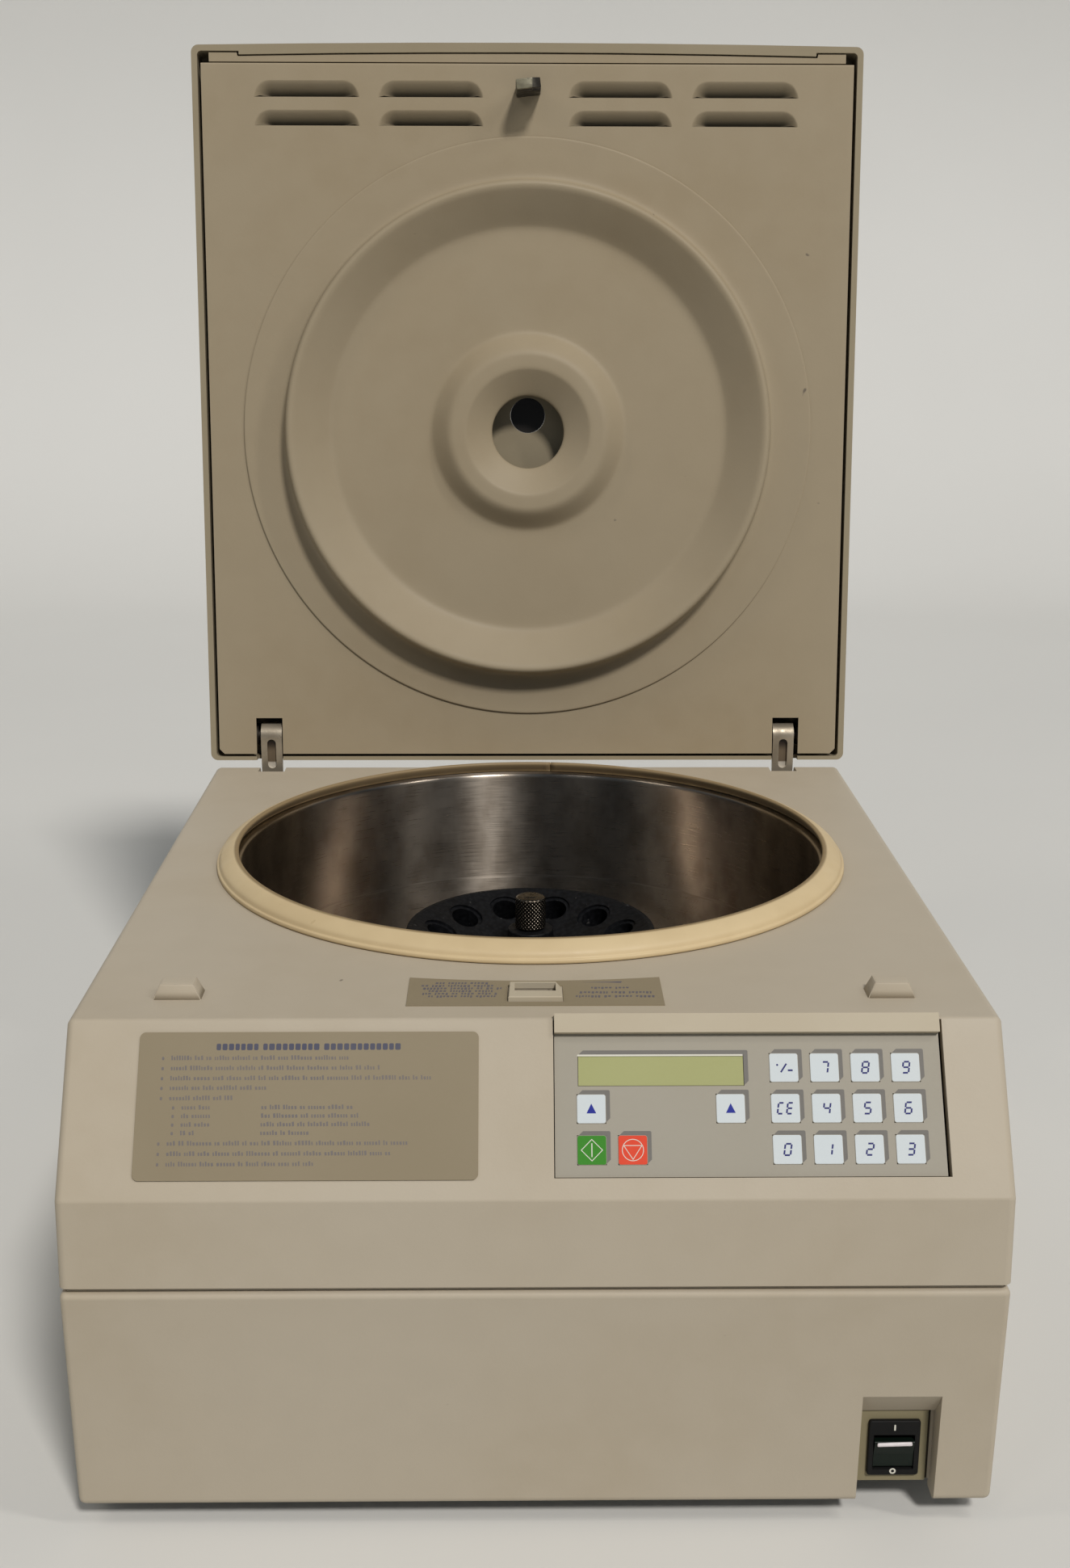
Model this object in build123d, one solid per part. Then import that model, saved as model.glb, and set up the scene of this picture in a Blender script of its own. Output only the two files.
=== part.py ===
from build123d import *
import math
import os

# Bench-top centrifuge, lid open. X runs left to right, Y front to back, Z up from the bench.
# While the pieces are made, y = 0 is the front edge of the flat top and x = 0 the middle.
# The lid is made closed and then turned open about its hinge pins.

# ------------------------------------------------------------------ driving dimensions, mm
# case
case_width = 450.0
case_top_z = 252.0
bowl_rear_space = 33.6
case_wall = 6.0
case_bottom_z = 12.0
fascia_run = 47.4
fascia_drop = 71.6
band_run = 2.5
band_drop = 43.7
parting_gap = 3.0
skirt_draft = 8.1
seam_lip_height = 11.0
seam_lip_clearance = 0.3
side_round = 4.0
front_round = 2.5
rear_round = 6.0
housing_round = 3.0
housing_foot_round = 4.0
seam_edge_margin = 60.0
cutter_over = 20.0

# base plate and feet
plate_thickness = 3.0
plate_z = 14.0
plate_clearance = 0.3
foot_radius = 14.0
foot_inset_x = 45.0
foot_front_y = 8.0
foot_rear_inset = 42.0
foot_recess_radius = 6.0
foot_recess_depth = 6.0
screw_radius = 2.5
screw_clearance = 0.2
screw_head_radius = 4.4
screw_head_height = 2.6
screw_nut_height = 3.2

# bowl, guard and drive, all round one upright axis
bowl_front_space = 85.4
bowl_radius = 176.0
bowl_sheet = 1.5
bowl_floor_z = 104.0
bowl_floor_round = 22.0
bowl_rim_height = 3.0
bowl_rim_width = 7.5
bowl_seam_z = 179.0
bowl_seam_step = 0.6
bowl_hole_radius = 36.0
ring_seat_width = 5.4
ring_lip_reveal = 1.2
ring_lip_height = 10.8
ring_wall = 7.0
ring_skirt_height = 2.6
ring_fit = 0.3
ring_joint_width = 0.6
ring_joint_x = 16.0
guard_gap = 11.0
guard_wall = 6.0
guard_top_gap = 8.0
shelf_inner_radius = 118.0
shelf_thickness = 4.0
cushion_inner_radius = 126.0
cushion_width = 22.0
cushion_height = 6.5
motor_radius = 55.0
motor_top_z = 92.0
motor_bottom_gap = 7.0
motor_flange_radius = 70.0
motor_flange_height = 5.0
motor_boss_radius = 18.0
motor_boss_height = 8.0
motor_plate_radius = 96.0
motor_plate_thickness = 6.0
motor_mount_height = 23.0
motor_mount_radius = 14.0
motor_mount_circle = 80.0
motor_mount_count = 3
bearing_outer_radius = 16.0
bearing_height = 10.0
shaft_radius = 8.0
running_fit = 0.03
shaft_clearance = 1.0
gaiter_grip = 3.5
gaiter_wall = 2.4

# rotor, spindle and nut
rotor_rim_radius = 77.0
rotor_rim_z = 203.7
rotor_rim_land = 2.8
rotor_foot_radius = 104.0
rotor_foot_height = 4.0
rotor_bottom_z = 114.0
rotor_dish_angle = 25.0
rotor_dish_foot_radius = 24.0
rotor_hub_radius = 14.0
rotor_hub_z = 203.4
rotor_underside_radius = 30.0
tube_count = 12
tube_circle_radius = 58.4
tube_bore_radius = 8.8
tube_depth = 72.0
tube_rim_radius = 11.1
tube_rim_depth = 1.4
spindle_collar_radius = 14.0
spindle_collar_height = 6.0
spindle_radius = 10.0
spindle_top_gap = 7.4
stud_radius = 5.0
stud_length = 24.0
nut_radius = 9.4
nut_height = 20.6
nut_cap = 2.2
nut_knurls = 40
nut_knurl_depth = 0.35
nut_round = 1.2
nut_seat_gap = 0.2

# lid, in its closed place
seal_gap = 0.5
dish_sheet = 1.2
lid_thickness = 24.0
lid_side_overhang = 3.2
lid_side_rim = 4.0
lid_top_wall = 3.5
lid_rear_rim = 2.6
lid_front_y = 2.2
lid_front_bow = 2.0
lid_front_rim = 6.1
lid_corner_step = 3.8
lid_corner_width = 31.2
lid_corner_round = 5.0
lid_edge_round = 6.0
panel_side_gap = 1.4
panel_rear_gap = 0.8
panel_behind_pins = 13.66
panel_sheet = 1.5
panel_fold_y = 15.6
panel_fold_step = 1.0
panel_strip_gap = 0.8
panel_strip_inset = 6.4
panel_corner_chamfer = 3.5
lid_post_radius = 6.0
lid_post_front = 42.0
lid_post_rear = 34.0
lid_open_angle = 95.76

dish_flange_width = 29.5
dish_flange_lap = 14.5
dish_bowl_gap = 7.0
dish_wall_draft = 2.8
dish_crest_height = 18.7
dish_crest_land = 2.2
dish_slope_run = 29.2
dish_floor_height = 3.0
boss_base_radius = 67.5
boss_top_radius = 53.0
boss_height = 13.0
boss_cone_radius = 42.0
boss_cone_depth = 11.0
boss_hole_radius = 25.0
sight_port_radius = 12.3
sight_port_offset = 12.0
sight_window_fit = 0.1
sight_window_thickness = 2.5

louvre_length = 72.0
louvre_inner_x = (27.0, 112.2)
louvre_height = 10.6
louvre_front_y = 27.0
louvre_row_pitch = 18.9
louvre_depth = 6.0
louvre_sheet = 1.2

striker_width = 17.0
striker_thickness = 7.2
striker_length = 29.0
striker_y = 33.6
striker_ramp_width = 6.0
striker_ramp_height = 3.2
striker_notch_depth = 5.6
striker_notch_height = 5.6
striker_notch_from_tip = 4.2

# hinge
hinge_pivot_setback = 5.94
hinge_pivot_z = 273.55
hinge_arm_inset = 43.6
hinge_arm_width = 15.0
hinge_arm_thickness = 3.0
hinge_arm_bottom_z = 176.0
hinge_eye_radius = 9.5
hinge_pin_radius = 4.0
hinge_notch_clearance = 1.9
hinge_notch_shift = 1.2
cover_notch_shift = 0.8
hinge_notch_front = 27.2
hinge_rim_notch_height = 7.4
hinge_groove_width = 6.2
hinge_groove_depth = 2.2
hinge_groove_bottom = 1.0
hinge_groove_top = 20.5
cover_notch_depth = 16.0
post_thickness = 8.0
post_top_drop = 17.0
post_foot_length = 26.0
post_wall_gap = 0.5
post_pad_margin = 6.0
post_foot_height = 5.0
hinge_screw_drops = (30.0, 60.0)
ear_thickness = 3.0
ear_gap = 2.4
ear_radius = 7.0
ear_foot_width = 9.0
ear_foot_height = 2.5

# fascia fittings; distances down the fascia start at the top front edge
instruction_left = -189.1
instruction_right = -27.4
instruction_top = 6.4
instruction_bottom = 76.3
instruction_thickness = 0.8
instruction_corner = 3.0
control_left = 8.2
control_right = 195.2
control_bottom = 75.6
control_clearance = 0.5
control_side_gap = 1.7
hood_bottom = 7.4
hood_rise = 3.0
hood_overlap = 1.8
hood_seat = 0.8
control_recess = 1.6
control_plate = 2.4
overlay_thickness = 1.2
overlay_gap = 0.3
key_size = 13.5
key_clearance = 0.25
key_thickness = 0.6
key_proud = 0.3
key_travel = 0.4
key_pitch = 19.33
number_key_pitch = 19.45
key_top = 17.1
number_keys_left = 111.6
control_keys_left = 19.3
right_arrow_left = 85.5
display_left = 19.8
display_right = 99.2
display_top = 17.4
display_bottom = 32.4
board_gap = 6.0
board_thickness = 1.6
board_post_radius = 3.0

# latch fittings on the flat top
latch_label_half_width = 63.3
latch_label_front_y = 15.4
latch_label_rear_y = 52.4
latch_label_bow = 4.8
latch_label_thickness = 0.5
latch_frame_half_width = 13.3
latch_frame_front_y = 20.3
latch_frame_rear_y = 40.4
latch_frame_height = 3.0
latch_frame_chamfer = 2.8
latch_slot_half_width = 10.2
latch_slot_front_y = 28.0
latch_slot_rear_y = 38.3
latch_cover_clearance = 0.5
lock_length = 76.0
lock_left = -24.0
lock_depth = 28.0
lock_height = 28.0
lock_wall = 5.0
lock_bolt_thickness = 4.4
lock_bolt_width = 6.0
lock_bolt_length = 30.0
lock_bolt_travel = 6.0
lock_bolt_rest_gap = 2.0
bolt_fit = 0.05

# lid rests moulded on the flat top
rest_x = 176.4
rest_length = 23.5
rest_width = 13.0
rest_y = 31.0
rest_height = 7.6
rest_taper = 3.5

# mains switch recess, lower right of the front
recess_left_reach = 19.0
recess_right_reach = 19.5
recess_top_z = 74.0
recess_inner_top_z = 58.5
recess_wall = 3.0
recess_hole_clearance = 1.0
switch_plate_left_reach = 18.6
switch_plate_right_reach = 16.6
switch_plate_bottom_z = 18.0
switch_plate_top_z = 57.6
switch_plate_setback = 16.9
switch_plate_thickness = 1.5
bezel_width = 25.6
bezel_height = 30.8
bezel_side_inset = 48.0
bezel_centre_z = 37.6
bezel_proud = 2.2
bezel_depth = 16.0
bezel_barrel_shrink = 1.2
rocker_window_width = 20.4
rocker_window_height = 19.6
rocker_clearance = 0.35
rocker_tilt = 10.0
rocker_front = 6.4
rocker_hollow = 0.9
rocker_drop = 2.2
rocker_axle_depth = 5.8
rocker_axle_reach = 0.8
rocker_end_gap = 1.4
rocker_axle_radius = 1.5

# rear panel, inlet, inside pieces
rear_opening_half_width = 198.0
rear_opening_bottom = 12.0
rear_opening_top = 12.0
rear_panel_lap = 8.0
rear_panel_thickness = 1.5
vent_count = 11
vent_pitch = 9.0
vent_width = 3.5
vent_height = 46.0
vent_group_x = 60.0
inlet_post_spacing = 34.6
inlet_z = 62.0
inlet_width = 27.0
inlet_height = 20.0
inlet_depth = 22.0
inlet_flange = 5.0
inlet_wall = 2.0
inlet_pin_count = 3
inlet_pin_pitch = 7.0
transformer_size = (64.0, 54.0, 52.0)
transformer_x = -120.0
transformer_y = 8.0
power_board_size = (150.0, 62.0, 1.6)
power_board_x = 10.0
power_board_y = 6.0
power_board_standoff = 10.0
power_board_post = 3.0
power_board_post_inset = 6.0
capacitor_count = 4
capacitor_height = 26.0
capacitor_radius = 9.0
capacitor_inset = 24.0


# ------------------------------------------------------------------ shapes used more than once
def block(x0, x1, y0, y1, z0, z1):
    """Box between two opposite corners."""
    return Pos((x0 + x1) / 2, (y0 + y1) / 2, (z0 + z1) / 2) * Box(x1 - x0, y1 - y0, z1 - z0)


def rod_z(x, y, z0, z1, radius):
    """Upright cylinder."""
    return Pos(x, y, (z0 + z1) / 2) * Cylinder(radius, z1 - z0)


def rod_y(x, z, y0, y1, radius):
    """Cylinder along Y."""
    return Pos(x, (y0 + y1) / 2, z) * Rot(90, 0, 0) * Cylinder(radius, y1 - y0)


def rod_x(y, z, x0, x1, radius):
    """Cylinder along X."""
    return Pos((x0 + x1) / 2, y, z) * Rot(0, 90, 0) * Cylinder(radius, x1 - x0)


def outline_edges(corners):
    """Closed outline of (a, b) or (a, b, radius) corners, as straight edges and arcs in XY."""
    starts, middles, ends = [], [], []
    count = len(corners)
    for i, corner in enumerate(corners):
        here = Vector(corner[0], corner[1])
        radius = corner[2] if len(corner) > 2 else 0.0
        if radius == 0.0:
            starts.append(here)
            middles.append(None)
            ends.append(here)
            continue
        back = (Vector(*corners[i - 1][:2]) - here).normalized()
        ahead = (Vector(*corners[(i + 1) % count][:2]) - here).normalized()
        half = math.radians(back.get_angle(ahead)) / 2
        bisector = (back + ahead).normalized()
        starts.append(here + back * (radius / math.tan(half)))
        middles.append(here + bisector * (radius / math.sin(half) - radius))
        ends.append(here + ahead * (radius / math.tan(half)))
    edges = []
    for i in range(count):
        if middles[i] is not None:
            edges.append(ThreePointArc(starts[i], middles[i], ends[i]))
        following = starts[(i + 1) % count]
        if (following - ends[i]).length > 1e-6:
            edges.append(Line(ends[i], following))
    return edges


def prism_x(corners, x0, x1):
    """Outline of (y, z) corners drawn out along X."""
    face = make_face(outline_edges(corners))
    return Plane(origin=(x0, 0, 0), x_dir=(0, 1, 0), z_dir=(1, 0, 0)).location * extrude(face, x1 - x0)


def prism_z(corners, z0, z1):
    """Outline of (x, y) corners drawn out along Z."""
    return Pos(0, 0, z0) * extrude(make_face(outline_edges(corners)), z1 - z0)


def turned(corners):
    """Outline of (radius, z) corners turned about the upright axis of the bowl."""
    face = Plane.XZ.location * make_face(outline_edges(corners))
    return Pos(0, bowl_y, 0) * revolve(face, Axis.Z)


def sheet_outline(points, thickness):
    """Outline of a bent sheet: one face runs through the points, the other lies to their left."""
    normals = []
    for first, second in zip(points, points[1:]):
        length = math.hypot(second[0] - first[0], second[1] - first[1])
        normals.append(((first[1] - second[1]) / length, (second[0] - first[0]) / length))
    far_side = []
    for i, point in enumerate(points):
        before = normals[max(i - 1, 0)]
        after = normals[min(i, len(normals) - 1)]
        share = 1 + before[0] * after[0] + before[1] * after[1]
        far_side.append((point[0] + thickness * (before[0] + after[0]) / share,
                         point[1] + thickness * (before[1] + after[1]) / share))
    return list(points) + far_side[::-1]


def mirrored_pair(shape):
    """The shape and its mirror image across the middle plane, as one group."""
    return Compound(list(shape.solids()) + list(mirror(shape, about=Plane.YZ).solids()))


# ------------------------------------------------------------------ places worked out from the sizes
case_half = case_width / 2
bowl_y = bowl_front_space + bowl_radius
case_rear_y = bowl_y + bowl_radius + bowl_rear_space
bowl_rim_radius = bowl_radius + bowl_rim_width
ring_lip_radius = bowl_radius + ring_lip_reveal
ring_skirt_radius = bowl_rim_radius + ring_fit + ring_wall
cover_hole_radius = ring_skirt_radius - ring_seat_width
guard_inner_radius = bowl_radius + guard_gap
lid_half_width = case_half + lid_side_overhang
lid_corner_x = lid_half_width - lid_corner_width
hinge_pivot_y = case_rear_y + hinge_pivot_setback
hinge_arm_x = lid_half_width - hinge_arm_inset
hinge_notch_x = hinge_arm_x + hinge_notch_shift
dish_wall_radius = bowl_radius - dish_bowl_gap
dish_flange_radius = dish_wall_radius + dish_flange_width
dish_hole_in_panel = dish_flange_radius - dish_flange_lap
dish_crest_radius = dish_wall_radius - dish_wall_draft
dish_floor_radius = dish_crest_radius - dish_slope_run
fascia_bottom_z = case_top_z - fascia_drop
band_bottom_z = fascia_bottom_z - band_drop
front_y = -fascia_run - band_run
skirt_top_z = band_bottom_z - parting_gap
skirt_bottom_y = front_y + skirt_draft
plate_top_z = plate_z + plate_thickness
panel_z = case_top_z + ring_lip_height + seal_gap + dish_sheet
lid_top_z = panel_z + lid_thickness
lid_inner_z = lid_top_z - lid_top_wall
panel_rear_y = hinge_pivot_y + panel_behind_pins
panel_half_width = lid_half_width - lid_side_rim - panel_side_gap
lid_rear_y = panel_rear_y + panel_rear_gap + lid_rear_rim
arm_front_y = hinge_pivot_y - hinge_eye_radius
arm_rear_y = arm_front_y + hinge_arm_thickness
notch_half_width = hinge_arm_width / 2 + hinge_notch_clearance
control_mid_x = (control_left + control_right) / 2
overlay_top = -control_recess
overlay_bottom = overlay_top - overlay_thickness
control_plate_bottom = overlay_bottom - control_plate
board_top = control_plate_bottom - board_gap
motor_plate_z = plate_top_z + motor_mount_height
motor_bottom_z = plate_top_z + motor_bottom_gap
nut_bottom_z = rotor_hub_z + nut_seat_gap
nut_top_z = nut_bottom_z + nut_height
shelf_top_z = bowl_floor_z - bowl_sheet - cushion_height
cushion_outer_radius = cushion_inner_radius + cushion_width
bezel_centre_x = case_half - bezel_side_inset
recess_left = bezel_centre_x - recess_left_reach
recess_right = bezel_centre_x + recess_right_reach
switch_plate_left = bezel_centre_x - switch_plate_left_reach
switch_plate_right = bezel_centre_x + switch_plate_right_reach
inlet_x = inlet_post_spacing - hinge_arm_x
switch_plate_y = front_y + switch_plate_setback
bezel_front_y = switch_plate_y - bezel_proud
rocker_z = bezel_centre_z - rocker_drop
rocker_y = bezel_front_y + rocker_axle_depth
slope_length = math.hypot(fascia_run, fascia_drop)
fascia_plane = Plane(origin=(0, 0, case_top_z), x_dir=(1, 0, 0), z_dir=(0, -fascia_drop, fascia_run))


def fascia_block(x0, x1, down0, down1, out0, out1):
    """Box on the fascia: across, down the slope, and out of it."""
    return fascia_plane.location * block(x0, x1, -down1, -down0, out0, out1)


def opened(shape):
    """A lid piece turned from its closed place to its open one."""
    pivot = Pos(0, hinge_pivot_y, hinge_pivot_z)
    back = Pos(0, -hinge_pivot_y, -hinge_pivot_z)
    return pivot * Rot(-lid_open_angle, 0, 0) * back * shape


# ------------------------------------------------------------------ case
def skirt_front_y(z):
    """Front face of the lower housing at a height."""
    share = (skirt_top_z - z) / (skirt_top_z - case_bottom_z)
    return front_y + skirt_draft * share


def foot_places():
    """Centres of the four feet."""
    x = case_half - foot_inset_x
    return [(side * x, y) for side in (-1, 1) for y in (foot_front_y, case_rear_y - foot_rear_inset)]


def mount_places():
    """Centres of the motor mounts."""
    turns = [math.radians(90 + 360 * i / motor_mount_count) for i in range(motor_mount_count)]
    return [(motor_mount_circle * math.cos(a), bowl_y + motor_mount_circle * math.sin(a)) for a in turns]


def make_base_plate():
    x = case_half - case_wall - plate_clearance
    plate = block(-x, x, skirt_front_y(plate_z) + case_wall + plate_clearance + 1.0,
                  case_rear_y - case_wall - plate_clearance, plate_z, plate_top_z)
    plate -= block(recess_left - recess_wall - 1, recess_right + recess_wall + 1, front_y,
                   switch_plate_y + switch_plate_thickness + 2 * recess_wall, plate_z - 1, plate_top_z + 1)
    for foot_x, foot_y in foot_places():
        plate -= rod_z(foot_x, foot_y, plate_z, plate_top_z, screw_radius + screw_clearance)
    return plate


def make_feet():
    feet = []
    for x, y in foot_places():
        foot = Pos(x, y, plate_z / 2) * Cone(foot_radius * 0.88, foot_radius, plate_z)
        foot -= rod_z(x, y, 0, foot_recess_depth, foot_recess_radius)
        foot -= rod_z(x, y, foot_recess_depth, plate_z, screw_radius + screw_clearance)
        feet.append(foot.solid())
    return Compound(feet)


def screw(head_end, shank_end, axis_place, along_y=False):
    """Pan-head screw: the head's outer face is at head_end, the shank runs to shank_end."""
    step = math.copysign(screw_head_height, shank_end - head_end)
    low, high = sorted((head_end, head_end + step))
    shank = sorted((head_end + step, shank_end))
    if along_y:
        x, z = axis_place
        return rod_y(x, z, low, high, screw_head_radius) + rod_y(x, z, *shank, screw_radius)
    x, y = axis_place
    return rod_z(x, y, low, high, screw_head_radius) + rod_z(x, y, *shank, screw_radius)


def make_screws():
    screws = []
    for x, y in foot_places():
        top = plate_top_z + screw_nut_height
        one = screw(foot_recess_depth - screw_head_height, top, (x, y))
        nut = extrude(RegularPolygon(screw_head_radius, 6), screw_nut_height)
        screws.append((one + Pos(x, y, plate_top_z) * nut).solid())
    for side in (-1, 1):
        for drop in hinge_screw_drops:
            place = (side * hinge_arm_x, case_top_z - drop)
            tip = arm_front_y - post_thickness
            screws.append(screw(arm_rear_y + screw_head_height, tip, place, True).solid())
    return Compound(screws)


def make_lower_housing():
    outer = prism_x([(skirt_bottom_y, case_bottom_z), (case_rear_y, case_bottom_z),
                     (case_rear_y, skirt_top_z), (front_y, skirt_top_z)], -case_half, case_half)
    outer = fillet(outer.edges().filter_by_position(Axis.Z, case_bottom_z + 1, skirt_top_z + 1)
                   .filter_by(lambda e: e.length < case_rear_y + seam_edge_margin), housing_round)
    outer = fillet(outer.edges().filter_by_position(Axis.Z, case_bottom_z - 0.1, case_bottom_z + 0.1),
                   housing_foot_round)
    inner_half = case_half - case_wall
    reach = skirt_top_z + cutter_over
    slope = skirt_draft / (skirt_top_z - case_bottom_z)
    inner = prism_x([(skirt_bottom_y + case_wall + slope * cutter_over, case_bottom_z - cutter_over),
                     (case_rear_y - case_wall, case_bottom_z - cutter_over),
                     (case_rear_y - case_wall, reach),
                     (front_y + case_wall - slope * cutter_over, reach)], -inner_half, inner_half)
    lip_inner_y = front_y + case_wall
    lip_outer = case_wall / 2 + seam_lip_clearance
    lip = block(-case_half + lip_outer, case_half - lip_outer, front_y + lip_outer,
                case_rear_y - lip_outer, skirt_top_z - 6, skirt_top_z + seam_lip_height)
    lip -= block(-inner_half, inner_half, lip_inner_y, case_rear_y - case_wall,
                 skirt_top_z - 7, skirt_top_z + seam_lip_height + 1)
    housing = outer - inner + lip
    opening_top = skirt_top_z - rear_opening_top
    opening_bottom = case_bottom_z + rear_opening_bottom
    housing -= block(-rear_opening_half_width, rear_opening_half_width, case_rear_y - case_wall - 1,
                     case_rear_y + 1, opening_bottom, opening_top)
    lap = rear_panel_lap
    lap_half = rear_opening_half_width + lap
    housing -= block(-lap_half, lap_half, case_rear_y - rear_panel_thickness, case_rear_y + 1,
                     opening_bottom - lap, opening_top + lap)
    seat_y = switch_plate_y + switch_plate_thickness
    walls = block(recess_left - recess_wall, recess_right + recess_wall, front_y,
                  seat_y + recess_wall, case_bottom_z, recess_top_z + recess_wall)
    housing += walls & outer
    housing -= prism_x([(front_y - 5, recess_top_z + 5), (skirt_front_y(recess_top_z), recess_top_z),
                        (switch_plate_y - 1, recess_inner_top_z), (seat_y, recess_inner_top_z),
                        (seat_y, case_bottom_z - 1), (front_y - 5, case_bottom_z - 1)],
                       recess_left, recess_right)
    housing -= block(recess_left, recess_right, seat_y - 1, seat_y + recess_wall + 1,
                     case_bottom_z - 1, switch_plate_bottom_z)
    half_w = bezel_width / 2 - bezel_barrel_shrink + recess_hole_clearance
    half_h = bezel_height / 2 - bezel_barrel_shrink + recess_hole_clearance
    housing -= block(bezel_centre_x - half_w, bezel_centre_x + half_w, seat_y - 1, seat_y + recess_wall + 1,
                     bezel_centre_z - half_h, bezel_centre_z + half_h)
    return housing


def make_rear_panel():
    half = rear_opening_half_width + rear_panel_lap - plate_clearance
    bottom = case_bottom_z + rear_opening_bottom - rear_panel_lap + plate_clearance
    top = skirt_top_z - rear_opening_top + rear_panel_lap - plate_clearance
    panel = block(-half, half, case_rear_y - rear_panel_thickness, case_rear_y, bottom, top)
    middle = (bottom + top) / 2
    for group in (-1, 1):
        for i in range(vent_count):
            x = group * vent_group_x + (i - (vent_count - 1) / 2) * vent_pitch
            panel -= block(x - vent_width / 2, x + vent_width / 2, case_rear_y - 5, case_rear_y + 5,
                           middle - vent_height / 2, middle + vent_height / 2)
    panel -= block(inlet_x - inlet_width / 2 - plate_clearance, inlet_x + inlet_width / 2 + plate_clearance,
                   case_rear_y - 5, case_rear_y + 5,
                   inlet_z - inlet_height / 2 - plate_clearance, inlet_z + inlet_height / 2 + plate_clearance)
    return panel


def make_mains_inlet():
    w, h = inlet_width / 2, inlet_height / 2
    body = block(inlet_x - w, inlet_x + w, case_rear_y - inlet_depth, case_rear_y + 2,
                 inlet_z - h, inlet_z + h)
    body += block(inlet_x - w - inlet_flange, inlet_x + w + inlet_flange, case_rear_y, case_rear_y + 2,
                  inlet_z - h - inlet_flange / 2, inlet_z + h + inlet_flange / 2)
    body -= block(inlet_x - w + inlet_wall, inlet_x + w - inlet_wall, case_rear_y - inlet_depth + 4,
                  case_rear_y + 3, inlet_z - h + inlet_wall, inlet_z + h - inlet_wall)
    for i in range(inlet_pin_count):
        x = inlet_x + (i - (inlet_pin_count - 1) / 2) * inlet_pin_pitch
        body += block(x - 1, x + 1, case_rear_y - inlet_depth + 3, case_rear_y - 3, inlet_z - 2, inlet_z + 2)
    return body


def make_top_cover():
    profile = [(0, case_top_z), (-fascia_run, fascia_bottom_z), (front_y, band_bottom_z),
               (case_rear_y, band_bottom_z), (case_rear_y, case_top_z)]
    outer = prism_x(profile, -case_half, case_half)
    side_edges = outer.edges().filter_by_position(Axis.Z, band_bottom_z + 1, case_top_z + 1)
    outer = fillet(side_edges.filter_by(lambda e: abs(e.center().X) > case_half - 1
                                        and e.center().Y < case_rear_y - 1), side_round)
    across = outer.edges().filter_by(Axis.X)
    outer = fillet(across.filter_by(lambda e: e.center().Z > band_bottom_z + 1
                                    and e.center().Y < 1), front_round)
    rear = outer.edges().filter_by(lambda e: e.center().Y > case_rear_y - 0.5
                                   and e.center().Z > band_bottom_z + 1)
    outer = fillet(rear, rear_round)
    # the cavity keeps one wall thickness, measured square to each outer face
    below = band_bottom_z - 5
    skin = [(case_rear_y, below), (case_rear_y, case_top_z), (0, case_top_z), (-fascia_run, fascia_bottom_z),
            (front_y - band_run * 5 / band_drop, below)]
    cavity = sheet_outline(skin, case_wall)[len(skin):]
    inner_top = case_top_z - case_wall
    inner = prism_x(cavity, -case_half + case_wall, case_half - case_wall)
    cover = outer - inner
    rebate = case_wall / 2
    cover -= block(-case_half + rebate, case_half - rebate, front_y + rebate, case_rear_y - rebate,
                   band_bottom_z - 1, skirt_top_z + seam_lip_height)
    cover -= rod_z(0, bowl_y, inner_top - 1, case_top_z + 1, cover_hole_radius)
    slot_half = latch_slot_half_width + latch_cover_clearance
    cover -= block(-slot_half, slot_half, latch_slot_front_y - latch_cover_clearance,
                   latch_slot_rear_y + latch_cover_clearance, inner_top - 1, case_top_z + 1)
    for side in (-1, 1):
        x = side * (hinge_arm_x - cover_notch_shift)
        cover -= block(x - notch_half_width, x + notch_half_width, case_rear_y - cover_notch_depth,
                       case_rear_y + 1, band_bottom_z - 1, case_top_z + 1)
        base = Pos(side * rest_x, rest_y, case_top_z) * Rectangle(rest_length, rest_width)
        top = Pos(side * rest_x, rest_y, case_top_z + rest_height) * Rectangle(
            rest_length - 2 * rest_taper, rest_width - rest_taper)
        cover += loft([base.face(), top.face()])
    cover -= fascia_block(control_left, control_right, hood_seat, control_bottom, -case_wall * 2, 1)
    return cover


# ------------------------------------------------------------------ bowl, guard and drive
def make_sealing_ring():
    rim_top = case_top_z + bowl_rim_height
    seat_radius = bowl_rim_radius + ring_fit
    lip = case_top_z + ring_lip_height
    skirt = case_top_z + ring_skirt_height
    profile = [(ring_lip_radius, rim_top), (seat_radius, rim_top), (seat_radius, case_top_z),
               (ring_skirt_radius, case_top_z), (ring_skirt_radius, skirt, 0.8),
               (ring_skirt_radius - 1.2, skirt + 0.4), (ring_skirt_radius - 2.4, skirt + 3.4, 2.0),
               (ring_lip_radius + 3.4, lip, 1.2), (ring_lip_radius, lip - 0.6, 1.0)]
    ring = turned(profile)
    ring -= block(ring_joint_x, ring_joint_x + ring_joint_width, bowl_y, bowl_y + ring_skirt_radius + 5,
                  case_top_z - 1, lip + 1)
    return ring


def make_bowl():
    rim_top = case_top_z + bowl_rim_height
    rim_bottom = rim_top - bowl_sheet
    outer = bowl_radius + bowl_sheet
    lower = bowl_radius - bowl_seam_step
    floor_bottom = bowl_floor_z - bowl_sheet
    profile = [(bowl_hole_radius, floor_bottom), (outer, floor_bottom, bowl_floor_round + bowl_sheet),
               (outer, rim_bottom), (bowl_rim_radius, rim_bottom), (bowl_rim_radius, rim_top),
               (bowl_radius, rim_top, 1.2), (bowl_radius, bowl_seam_z), (lower, bowl_seam_z - 1),
               (lower, bowl_floor_z, bowl_floor_round), (bowl_hole_radius, bowl_floor_z)]
    return turned(profile)


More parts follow.
